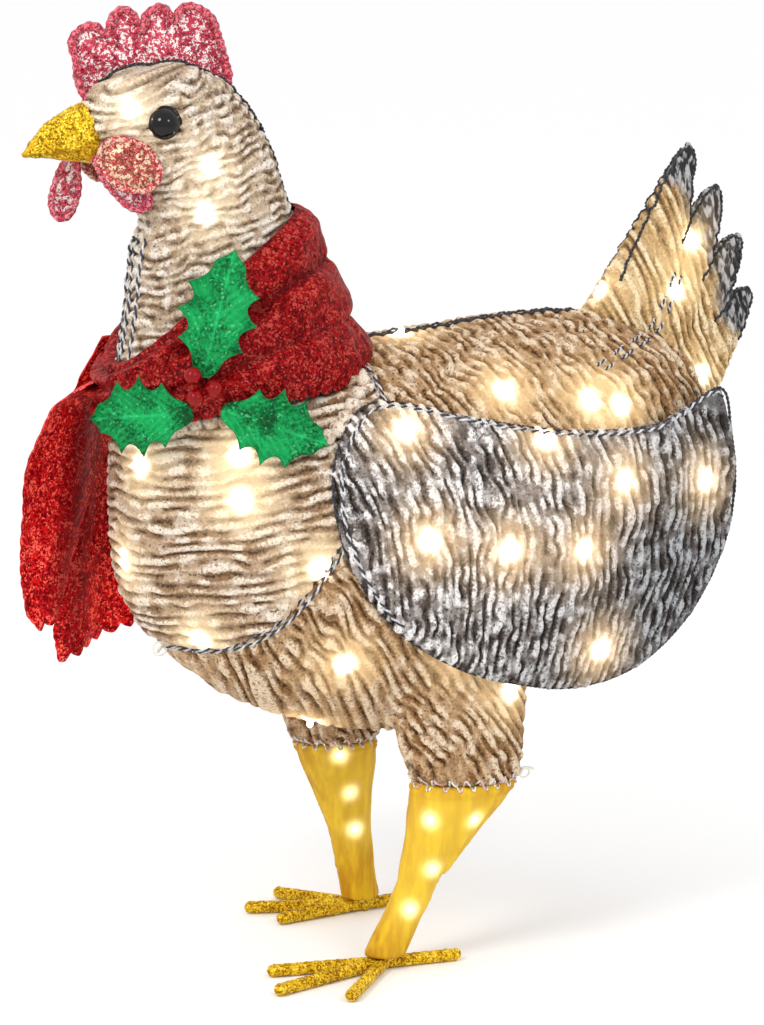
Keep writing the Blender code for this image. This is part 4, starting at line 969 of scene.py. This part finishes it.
# Each leaf's foot, the way it points, the way it faces, its length and its width.
LEAVES = (
    ("holly_leaf_top", (0.0895, -0.1618, 0.487), (0.00, 0.25, 0.97), (0.90, -0.40, 0.10), 0.101, 0.066),
    ("holly_leaf_front", (0.0915, -0.1708, 0.460), (-0.60, -0.80, -0.10), (0.78, -0.62, 0.12), 0.087, 0.064),
    ("holly_leaf_rear", (0.0950, -0.1494, 0.462), (0.30, 0.90, -0.32), (0.93, -0.34, 0.12), 0.087, 0.064),
)
BERRIES = (("holly_berry_1", (0.0945, -0.1720, 0.4896)), ("holly_berry_2", (0.0990, -0.1566, 0.4793)),
           ("holly_berry_3", (0.0960, -0.1703, 0.4727)))
BERRY_RADIUS = 0.0069
CALYX = ((0.0012, -0.0012), (0.0014, 0.0002), (0.0011, 0.0008), (0.0004, 0.0009))


def make_leaf(name, base, along, face, length, width, seed):
    rows, columns = 120, 33
    place = flat_place(base, along, face)
    share = np.linspace(0, 1, rows)[:, None]
    v = np.linspace(-1, 1, columns)[None, :]
    body = np.sin(np.pi * np.minimum(1, share * 0.97 + 0.03)) ** (0.62 + 0.5 * share ** 3)
    phase = (share * (LEAF_SPINES + 0.5)) % 1.0
    half = np.maximum(body * (1 - 0.34 * np.sin(np.pi * phase) ** 0.75), 0.015) * width / 2
    reach = np.abs(v) * half / (width / 2)
    spine = 0.075 * length * np.abs(v) ** 3 * (1 - share)
    u = share * length + spine * 0.6
    wobble = drift(share * 5, v * 2 + 9, seed) - 0.5
    bend = -0.10 * length * share ** 2 + 0.10 * width * v * v * body + 0.006 * wobble * np.abs(v)
    rib = 0.0016 * np.exp(-(reach / 0.035) ** 2)
    slant = share - 0.42 * reach
    vein = np.abs((slant * LEAF_VEINS) % 1.0 - 0.5) * 2
    fine = np.abs((slant * LEAF_VEINS * 3 + 0.2) % 1.0 - 0.5) * 2
    press = 0.0015 * vein ** 1.5 + 0.0004 * fine
    puckers = 0.0012 * (drift(share * 24, v * 9 + 3, seed + 1) - 0.5)
    rise = bend + rib + (press + puckers) * np.minimum(1, reach * 8)
    centre = np.array(place(0, 0, 0))
    u_way, v_way, w_way = (np.array(place(*way)) - centre for way in np.eye(3))
    middle = centre + u[..., None] * u_way + (v * half)[..., None] * v_way + rise[..., None] * w_way
    # Lighter along the veins and the midrib: painted highlights, kept in the vein mark.
    lit = np.clip(0.5 * vein ** 3 + 0.25 * fine + np.exp(-(reach / 0.03) ** 2), 0, 1)
    sheet = LEAF_SHEET / 2 * w_way
    return add_mesh(name, *shell(middle + sheet, middle - sheet), vein=both_sides(lit),
                    edge=both_sides(np.abs(v) ** 6 + 0 * share))


foil = Finish("green_foil_cloth")
fleck = foil.flakes(620.0)
sweep = foil.noise(38, 3)
tint = foil.blend(foil.rise(sweep + fleck * 0.30, 0.45, 0.78), (0.0, 0.055, 0.012), (0.0, 0.27, 0.062))
# Painted highlights along the raised veins.
tint = foil.blend(foil.mark("vein") * foil.rise(sweep, 0.35, 0.6) * 0.7, tint, (0.02, 0.50, 0.15))
tint = foil.blend(foil.rise(fleck, 0.93, 0.98) * 0.35, tint, (0.16, 0.66, 0.28))
foil.surface(
    base_color=foil.blend(foil.mark("edge") * 0.5, tint, (0.0, 0.10, 0.025)),
    roughness=0.36 + fleck * 0.22,
    metallic=0.05 + foil.mark("vein") * 0.1,
    specular_ior_level=0.14,
    normal=foil.grain(foil.noise(420, 3) + fleck * 0.3, 0.0005, 0.5),
)
for seed, (node, base, along, face, length, width) in enumerate(LEAVES, 80):
    dress(make_leaf(node + "_foil", base, along, face, length, width, seed), foil, node)

lacquer = Finish("berry_lacquer")
cloud = lacquer.noise(140, 3)
lacquer.surface(
    base_color=lacquer.blend(cloud, (0.17, 0.0, 0.001), (0.27, 0.0, 0.002)),
    roughness=0.07 + cloud * 0.05,
    specular_ior_level=0.22,
    normal=lacquer.grain(lacquer.noise(90), 0.0002, 0.25),
)
out = Vector((0.86, -0.48, 0.10)).normalized()
for node, centre in BERRIES:
    spot = Vector(centre) + MIDLINE
    calyx = [(reach, BERRY_RADIUS + height) for reach, height in CALYX]
    stem = tube([spot - out * t for t in (0.004, 0.009, 0.014)], 0.0009)
    turned = [lathed(bead_profile(BERRY_RADIUS, -0.995), spot, out, 32), lathed(calyx, spot, out, 12)]
    dress(gathered(node + "_bead", [*turned, stem]), lacquer, node)


# Shanks: yellow cloth stretched over a wire frame, hemmed and stitched to the thighs, with
# a few lamps behind it. Long creases run down from the hem.
SHANK_GLOWS = {
    "shank_left": ((0.090, -0.009, 0.124), (0.096, 0.027, 0.122), (0.086, -0.024, 0.051),
                   (0.088, -0.006, 0.083)),
    "shank_right": ((-0.059, -0.032, 0.143), (-0.072, -0.014, 0.075), (-0.064, -0.020, 0.108)),
}
HEM_DROP = 0.007
HEM_SEAM_DROP = 0.0105

leg_cloth = Finish("stretched_yellow_cloth")
halo = leg_cloth.mark("halo")
streak = leg_cloth.noise(130, 3, leg_cloth.place((1.0, 1.0, 0.22)))
fine = leg_cloth.noise(900)
tint = leg_cloth.blend(leg_cloth.rise(streak, 0.35, 0.68), (0.47, 0.21, 0.003), (0.67, 0.40, 0.008))
# The crease mark darkens the troughs of the creases with painted shade, and a thin line under the hem.
tint = leg_cloth.blend(leg_cloth.mark("crease") * 0.7, tint, (0.46, 0.20, 0.004))
leg_cloth.surface(
    # Near the lamps the base colour is lightened, as painted lamp light.
    base_color=leg_cloth.blend(halo * 0.4, tint, (0.88, 0.66, 0.07)),
    roughness=0.62 + (fine - 0.5) * 0.2,
    specular_ior_level=0.2,
    emission_color=leg_cloth.lamp_light(leg_cloth.mark("core"), (0.45, 0.40, 0.22),
                                        halo, (0.010, 0.007, 0.0005)),
    emission_strength=4.5,
    normal=leg_cloth.grain(streak * 1.5 + fine * 0.5, 0.0010, 0.6),
)
for seed, (node, spots) in enumerate(SHANK_GLOWS.items(), 91):
    shank = skin_over(node, node + "_cloth", 0.0020, 10)
    co = points_of(shank)
    middle = middle_of(node)
    low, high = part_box(node)
    rise = (co[:, 2] - low.z) / (high.z - low.z)
    turn = np.arctan2(co[:, 0] - middle.x, co[:, 1] - middle.y)
    long_crease = drift(turn * 4.5 + 3 * np.sin(rise * 2.4), rise * 2.2, seed)
    fine_crease = drift(turn * 11 + 2 * rise, rise * 5.0, seed + 2)
    crease = np.clip((0.42 - long_crease) / 0.25, 0, 1) * np.clip((rise - 0.06) * 6, 0, 1)
    hem, hem_seam = (np.exp(-((co[:, 2] - high.z + drop) / width) ** 2)
                     for drop, width in ((HEM_DROP, 0.0022), (HEM_SEAM_DROP, 0.0012)))
    push_out(shank, 0.0022 * (long_crease - 0.5) + 0.0012 * (fine_crease - 0.5) + 0.0013 * hem)
    mark_points(shank, crease=crease * 0.7 + 0.5 * hem_seam)
    light_up(shank, spots)
    dress(shank, leg_cloth, node)


# Feet: four straight steel toes to a foot, each wound with gold glitter tape and bound
# together under the shank.
TOE_RADIUS = 0.0054
# Each toe's turn in degrees and its length, then each foot's side, ankle, turn and size.
TOES = ((-27.0, 0.096), (0.0, 0.114), (32.0, 0.096), (158.0, 0.066))
FEET = (("foot_left", 1, -0.012, 22.0, 1.0), ("foot_right", -1, 0.026, 14.0, 0.86))
TAPE_STEP = 0.0085
FOOT_APART = 0.080
BINDING_REACH = 0.0068


def wound_rod(start, end, turns, seed):
    """Rod with overlapping turns of tape and a rounded end, and where the tape's seam runs."""
    length = (end - start).length
    steps, sides = int(length / 0.0015), 18
    way = (end - start) / length
    side = way.cross(Vector((0, 0, 1))).normalized()
    up = side.cross(way)
    verts, seams = [], []
    for k in range(steps + 1):
        s = k / steps * length
        nose = max(0.0, s - (length - TOE_RADIUS)) / TOE_RADIUS
        cap = math.sqrt(max(0.0, 1 - nose ** 2)) * 0.97 + 0.03
        for i in range(sides):
            angle = 2 * math.pi * i / sides
            lap = (s / length * turns + i / sides + 0.15 * math.sin(s * 90 + seed)) % 1.0
            step = 0.00055 * (lap - 0.5)
            rough = 0.0004 * (float(drift(s * 700, angle * 3, seed)) - 0.5)
            reach = (TOE_RADIUS - 0.0004 + step + rough) * cap
            verts.append(tuple(start + way * s + (side * math.cos(angle) + up * math.sin(angle)) * reach))
            seams.append(max(0.0, 1 - min(lap, 1 - lap) * 9))
    return (np.array(verts), hooped(steps + 1, sides)), seams


gold = glitter("gold_glitter_tape", (0.70, 0.41, 0.012), (0.98, 0.72, 0.07), (0.24, 0.11, 0.003),
               0.0012, 0.34, 0.05)
gold.surface(base_color=gold.blend(gold.mark("seam") * 0.7, gold.tint, (0.16, 0.07, 0.003)))
for node, side, ankle_y, yaw, size in FEET:
    ankle = Vector((side * FOOT_APART, ankle_y, TOE_RADIUS)) + MIDLINE
    rods = []
    for i, (angle, length) in enumerate(TOES):
        heading = math.radians(-90 + side * (yaw + angle))
        way = Vector((math.cos(heading), math.sin(heading), 0))
        rods.append(wound_rod(ankle - way * 0.006, ankle + way * length * size, length / TAPE_STEP, i))
    binding = []
    for k, t in enumerate(np.linspace(0, 8 * np.pi, 120)):
        ring = Vector((math.cos(t) * BINDING_REACH, math.sin(t) * BINDING_REACH, 0.0003 * math.sin(3 * t)))
        binding.append(ankle + ring + Vector((0, 0, 0.0032 + k * 0.00006)))
    toes, seams = zip(*rods)
    foot = gathered(node + "_rods", [*toes, tube(binding, 0.0016)], seam=[*seams, 0.0])
    dress(foot, gold, node)


# Edging: black and white cord and black wire, twisted in pairs and stitched along the
# edges of the cloth panels and along the hen's back.
CORD_REACH = 0.0013
CORD_LAY = 0.0115
CORD_STEPS = 7
PLIES = 2


def lay_cord(name, paths, finish, reach=CORD_REACH, lay=CORD_LAY):
    """Cords twisted of two plies along the paths, as one piece sewn to the cloth."""
    parts = []
    for path in paths:
        if len(path) < 4:
            continue
        line = evened(np.array(path), lay / CORD_STEPS, False)
        for _ in range(2):
            line[1:-1] = (line[:-2] + line[1:-1] * 2 + line[2:]) / 4
        side, lift = square_to(unit(np.gradient(line, axis=0)), (1.0, 0.0, 0.0), (0.0, 0.0, 1.0), 0.3)
        for k in range(PLIES):
            phase = np.arange(len(line)) / CORD_STEPS * 2 * np.pi + 2 * np.pi * k / PLIES
            centre = line + (np.cos(phase)[:, None] * side + np.sin(phase)[:, None] * lift) * reach * 0.62
            parts.append(tube(centre, reach * 0.66, 5, False, (1.0, 0.02, 0.05)))
    cord = gathered(name, parts, ply=[float(i % PLIES) for i in range(len(parts))])
    dress(cord, finish)


def cord_finish(name, first, second):
    made = Finish(name)
    fibre = made.noise(900, 3, made.place((1.0, 1.0, 0.5)))
    dark = made.blend(made.rise(fibre, 0.35, 0.7), shade_of(first, 0.55), shade_of(first, 1.6, 0.01))
    pale = made.blend(made.rise(fibre, 0.3, 0.65), shade_of(second, 0.55), second)
    pale = made.blend(made.rise(made.noise(160), 0.58, 0.68) * 0.7, pale, first)
    return made.surface(
        base_color=made.blend(made.rise(made.mark("ply"), 0.3, 0.7), dark, pale),
        roughness=0.75 - fibre * 0.2,
        normal=made.grain(fibre, 0.0004, 0.7),
    )


def on_body(shares, start, span):
    """Places (y, z) on the hen's side from shares of a span."""
    return np.array(shares) * span + start + (MIDLINE.y, 0.0)


def laid_on(tree, line, side, lift):
    """The line of (y, z) places laid on the cloth from one side, a little proud of it."""
    hits = [from_side(tree, y, z, side) for y, z in line]
    return [spot + normal * lift for spot, normal in hits if spot is not None]


striped = cord_finish("striped_cord", (0.030, 0.032, 0.042), (0.70, 0.70, 0.74))
black = cord_finish("black_wire", (0.010, 0.010, 0.013), (0.055, 0.055, 0.065))

BREAST_SEAM = ((0.352, 1.006), (0.374, 0.845), (0.346, 0.703), (0.292, 0.555), (0.206, 0.373),
               (0.131, 0.288), (0.057, 0.261), (0.006, 0.262))
seam = eased(on_body(BREAST_SEAM, (-0.201, 0.180), (0.489, 0.330)), 14, False)
body_skin = skin_tree(trunk, breast)
lay_cord("breast_edging", [laid_on(body_skin, seam + (shift, -0.7 * shift), side, CORD_REACH * 0.4)
                           for side in (1, -1) for shift in (0.0008, 0.0042)], striped)

WING_OUTLINE = (
    (0.123, 1.000), (0.342, 0.929), (0.539, 0.873), (0.708, 0.854), (0.825, 0.866), (0.985, 0.943),
    (1.000, 0.794), (1.000, 0.599), (0.964, 0.397), (0.870, 0.188), (0.733, 0.044), (0.579, 0.000),
    (0.435, 0.033), (0.286, 0.109), (0.136, 0.263), (0.037, 0.481), (0.000, 0.709), (0.029, 0.888),
)
outline = on_body(WING_OUTLINE, (-0.069, 0.225), (0.363, 0.237))
centre = outline.mean(0)
rim = eased(outline, 12)


def round_wing(skin, side, inset, depth):
    """Path round the wing, inset from its outline; depth runs from inner to outer face."""
    places, xs = [], []
    for i, (y, z) in enumerate(centre + (rim - centre) * min(inset, 0.975)):
        outer = from_side(skin, y, z, side)[0]
        inner = skin.ray_cast(Vector((MID_X, y, z)), Vector((side, 0, 0)))[0]
        if outer is not None and inner is not None:
            places.append(i)
            xs.append(inner.x + (outer.x - inner.x) * depth)
    xs = np.interp(np.arange(len(rim)), places, xs)
    return [Vector((x, y, z)) for x, (y, z) in zip(xs, centre + (rim - centre) * inset)]


for side, wing in ((1, "wing_left"), (-1, "wing_right")):
    wing_skin = skin_tree(bpy.data.objects[wing + "_cloth"])
    edge = round_wing(wing_skin, side, 0.9965, 0.5)
    face = round_wing(wing_skin, side, 0.968, 1.0)
    upper = [face[i % len(rim)] for i in range(int(len(rim) * 0.78), int(len(rim) * 1.30))]
    lay_cord(wing + "_edging", [upper], striped, 0.0015)
    lay_cord(wing + "_wire", [edge + edge[:1]], black, 0.0011, 0.008)


def over_top(tree, line, offsets):
    """Paths over the cloth beside the midline; a row of the line is y, z and the way in."""
    paths = []
    for x in offsets:
        hits = []
        for y, z, way_y, way_z in line:
            way = Vector((0, way_y, way_z)).normalized()
            hits.append(tree.ray_cast(Vector((MID_X + x, y, z)) - way * 0.08, way, 0.2)[:2])
        paths.append([spot + normal * 0.0008 for spot, normal in hits if spot is not None])
    return paths


crown = [(-0.246 + 0.132 * t, 0.715, 0.0, -1.0) for t in np.linspace(0, 1, 50)]
nape = [(-0.120 + 0.058 * t ** 0.9, 0.722 - 0.155 * t, -1.0, -0.35) for t in np.linspace(0, 1, 50)]
throat = [(-0.240, 0.585 - 0.125 * t, 1.0, 0.0) for t in np.linspace(0, 1, 40)]
back = [(-0.055 + 0.205 * t, 0.56, 0.0, -1.0) for t in np.linspace(0, 1, 90)]
head_skin = skin_tree(head)
lay_cord("comb_wire", over_top(head_skin, crown, (-0.0048, 0.0048)), black, 0.0013, 0.007)
lay_cord("nape_edging", over_top(head_skin, nape, (-0.0030, 0.0030)), black, 0.0013, 0.010)
lay_cord("throat_edging", over_top(head_skin, throat, (0.004, 0.016, -0.008)), striped, 0.0014)
lay_cord("back_edging", over_top(skin_tree(trunk), back, (-0.003, 0.003)), black, 0.0011, 0.009)

FEATHER_HALF = 0.02376
FEATHER_STARTS = (0.45, 0.72, 0.72, 0.72)
tail_skin = skin_tree(tail)
feather_paths = []
for side in (1, -1):
    for tip, root, start in zip(FEATHER_TIPS, FEATHER_ROOTS, FEATHER_STARTS):
        root = np.array(root) + (MIDLINE.y, 0.0)
        run = np.array(tip) + (MIDLINE.y, 0.0) - root
        across = np.array((run[1], -run[0])) / np.linalg.norm(run)
        shares = np.linspace(start, 0.985, 40)
        half = FEATHER_HALF * np.interp(shares, (0.45, 0.54, 0.74, 0.87, 0.95, 1.0),
                                        (1.20, 1.08, 0.70, 0.48, 0.31, 0.08))
        front = [root + run * t - across * h for t, h in zip(shares, half)]
        rear = [root + run * t + across * h for t, h in zip(shares, half) if t > 0.74]
        feather_paths.append(laid_on(tail_skin, front + rear[::-1], side, 0.0004))
lay_cord("tail_wires", feather_paths, black, 0.0012, 0.008)

DASHES = ((0.141, 0.476), (0.172, 0.487), (0.203, 0.498), (0.220, 0.523), (0.235, 0.548))
DASH_POINTS, DASH_EVERY = 6, 9
dash_line = eased(DASHES, 14, False)
body_and_tail = skin_tree(trunk, tail)
thread_paths = []
for side in (1, -1):
    for shift in (0.0, 0.007):
        hits = laid_on(body_and_tail, dash_line + (shift, -0.5 * shift), side, 0.0006)
        thread_paths += [hits[i:i + DASH_POINTS] for i in range(0, len(hits) - DASH_POINTS, DASH_EVERY)]
lay_cord("tail_stitching", thread_paths, striped, 0.0012, 0.006)


# Lamps: clear warm white mini lamps, pushed through the cloth from the strings inside, each
# with its small holder. The lamps of the shanks sit under their cloth, without a holder.
LAMP_RADIUS = 0.0024
LAMP_NECK = 0.00255
LAMP_SEAT = 0.0006
SHANK_LAMP_SEAT = 0.0036
LAMP_SIDES = 12
BULB = [(LAMP_RADIUS * 0.9, -0.0030), (LAMP_RADIUS, 0.0000), (LAMP_RADIUS, LAMP_NECK)]
BULB += [(LAMP_RADIUS * math.cos(a), LAMP_NECK + LAMP_RADIUS * 1.3 * math.sin(a))
         for a in (0.3, 0.6, 0.9, 1.2, 1.45, 1.54)]
HOLDER = ((0.0022, -0.0060), (0.0036, -0.0058), (0.0037, -0.0008), (0.0031, 0.0004), (0.0024, 0.0004))

glass = Finish("warm_lamp_glass")
swirl = glass.noise(300)
glass.surface(
    base_color=glass.blend(swirl, (1.0, 0.90, 0.72), (1.0, 0.97, 0.88)),
    roughness=0.10 + swirl * 0.10,
    emission_color=glass.blend(swirl, (1.0, 0.84, 0.55), (1.0, 0.95, 0.80)),
    emission_strength=14.0,
    normal=glass.grain(swirl, 0.0002, 0.3),
)
clear = Finish("clear_white_plastic")
cloud = clear.noise(200, 3)
clear.surface(
    base_color=clear.blend(cloud, (0.72, 0.68, 0.60), (0.86, 0.84, 0.80)),
    roughness=0.32 + cloud * 0.15,
    normal=clear.grain(cloud, 0.0002, 0.4),
)


def set_lamps(profile, cloth, spots, depth):
    """A turned part at each spot, standing square to the cloth and sunk into it."""
    skin = skin_tree(bpy.data.objects[cloth])
    seats = [skin.find_nearest(Vector(spot))[:2] for spot in spots]
    return [lathed(profile, seat - normal * depth, normal, LAMP_SIDES) for seat, normal in seats]


rows = [pair for cloth, spots in LAMPS.items()
        for pair in ((cloth, spots), (cloth.replace("left", "right"), twins(spots)))]
bulbs = [part for cloth, spots in rows for part in set_lamps(BULB, cloth, spots, LAMP_SEAT)]
holders = [part for cloth, spots in rows for part in set_lamps(HOLDER, cloth, spots, LAMP_SEAT)]
for node, spots in SHANK_GLOWS.items():
    bulbs += set_lamps(BULB, node + "_cloth", spots[:2], SHANK_LAMP_SEAT)
dress(gathered("mini_lamps", bulbs), glass)
dress(gathered("lamp_holders", holders), clear)


# Stitches and ties: white and pink thread laces each shank to its thigh, a clear tie ends
# the lacing behind, and a small clear loop hangs from the front of the belly.
LACE_COUNT = 38
LACE_RISE = 0.0048
LEG_TOPS = {"shank_left": 0.057 + MIDLINE.y, "shank_right": 0.002 + MIDLINE.y}
LOOP_SPOT = Vector((0.012, -0.212, 0.254))


def hoop(place, reach, points):
    """Points of a small ring; place turns its two cross measures into a point."""
    return [place(math.cos(a) * reach, math.sin(a) * reach) for a in np.linspace(0, 2 * np.pi, points)[:-1]]


lace_parts, lace_kinds = [], []
for node, top_y in LEG_TOPS.items():
    leg_skin = skin_tree(trunk, bpy.data.objects[node + "_cloth"])
    low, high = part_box(node)
    for i in range(LACE_COUNT):
        spots = []
        for t in np.linspace(-1, 1, 8):
            turn = 2 * math.pi * i / LACE_COUNT + (0.09 if i % 2 else -0.05) * t
            way = Vector((math.sin(turn), math.cos(turn), 0))
            start = Vector((middle_of(node).x, top_y, high.z + LACE_RISE * t + 0.0006)) + way * 0.09
            spot = leg_skin.ray_cast(start, -way)[0]
            if spot is not None:
                spots.append(spot + way * 0.0007)
        if len(spots) > 4:
            lace_parts.append(tube(spots, 0.0008, 6))
            lace_kinds.append(float(i % 3 == 0))
laced = cord_finish("lacing_thread", (0.72, 0.66, 0.56), (0.80, 0.50, 0.52))
dress(gathered("thigh_lacing", lace_parts, ply=lace_kinds), laced)

clear_parts = []
seat, normal = body_skin.find_nearest(LOOP_SPOT)[:2]
for reach, turn in ((0.0056, 0.0), (0.0044, 1.1)):
    flat = Vector((math.cos(turn), math.sin(turn), 0)).cross(normal).normalized()
    ring = hoop(lambda a, b: seat + normal * (reach * 0.8 + a) + flat * b, reach, 40)
    clear_parts.append(tube(ring, 0.0008, 8, True, (0.3, 0.2, 0.9)))
low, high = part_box("shank_left")
tie_end = Vector((middle_of("shank_left").x, high.y + 0.0005, high.z - 0.001))
strap = [tie_end + Vector((0.0, t * 0.014, 0.0035 * math.sin(t * 2.5))) for t in np.linspace(-0.4, 1, 16)]
clear_parts.append(tube(strap, 0.0011))
clear_parts.append(tube(hoop(lambda a, b: tie_end + Vector((0, 0.006 + a, b)), 0.0042, 30), 0.0009, 8, True))
dress(gathered("clear_ties", clear_parts), clear)
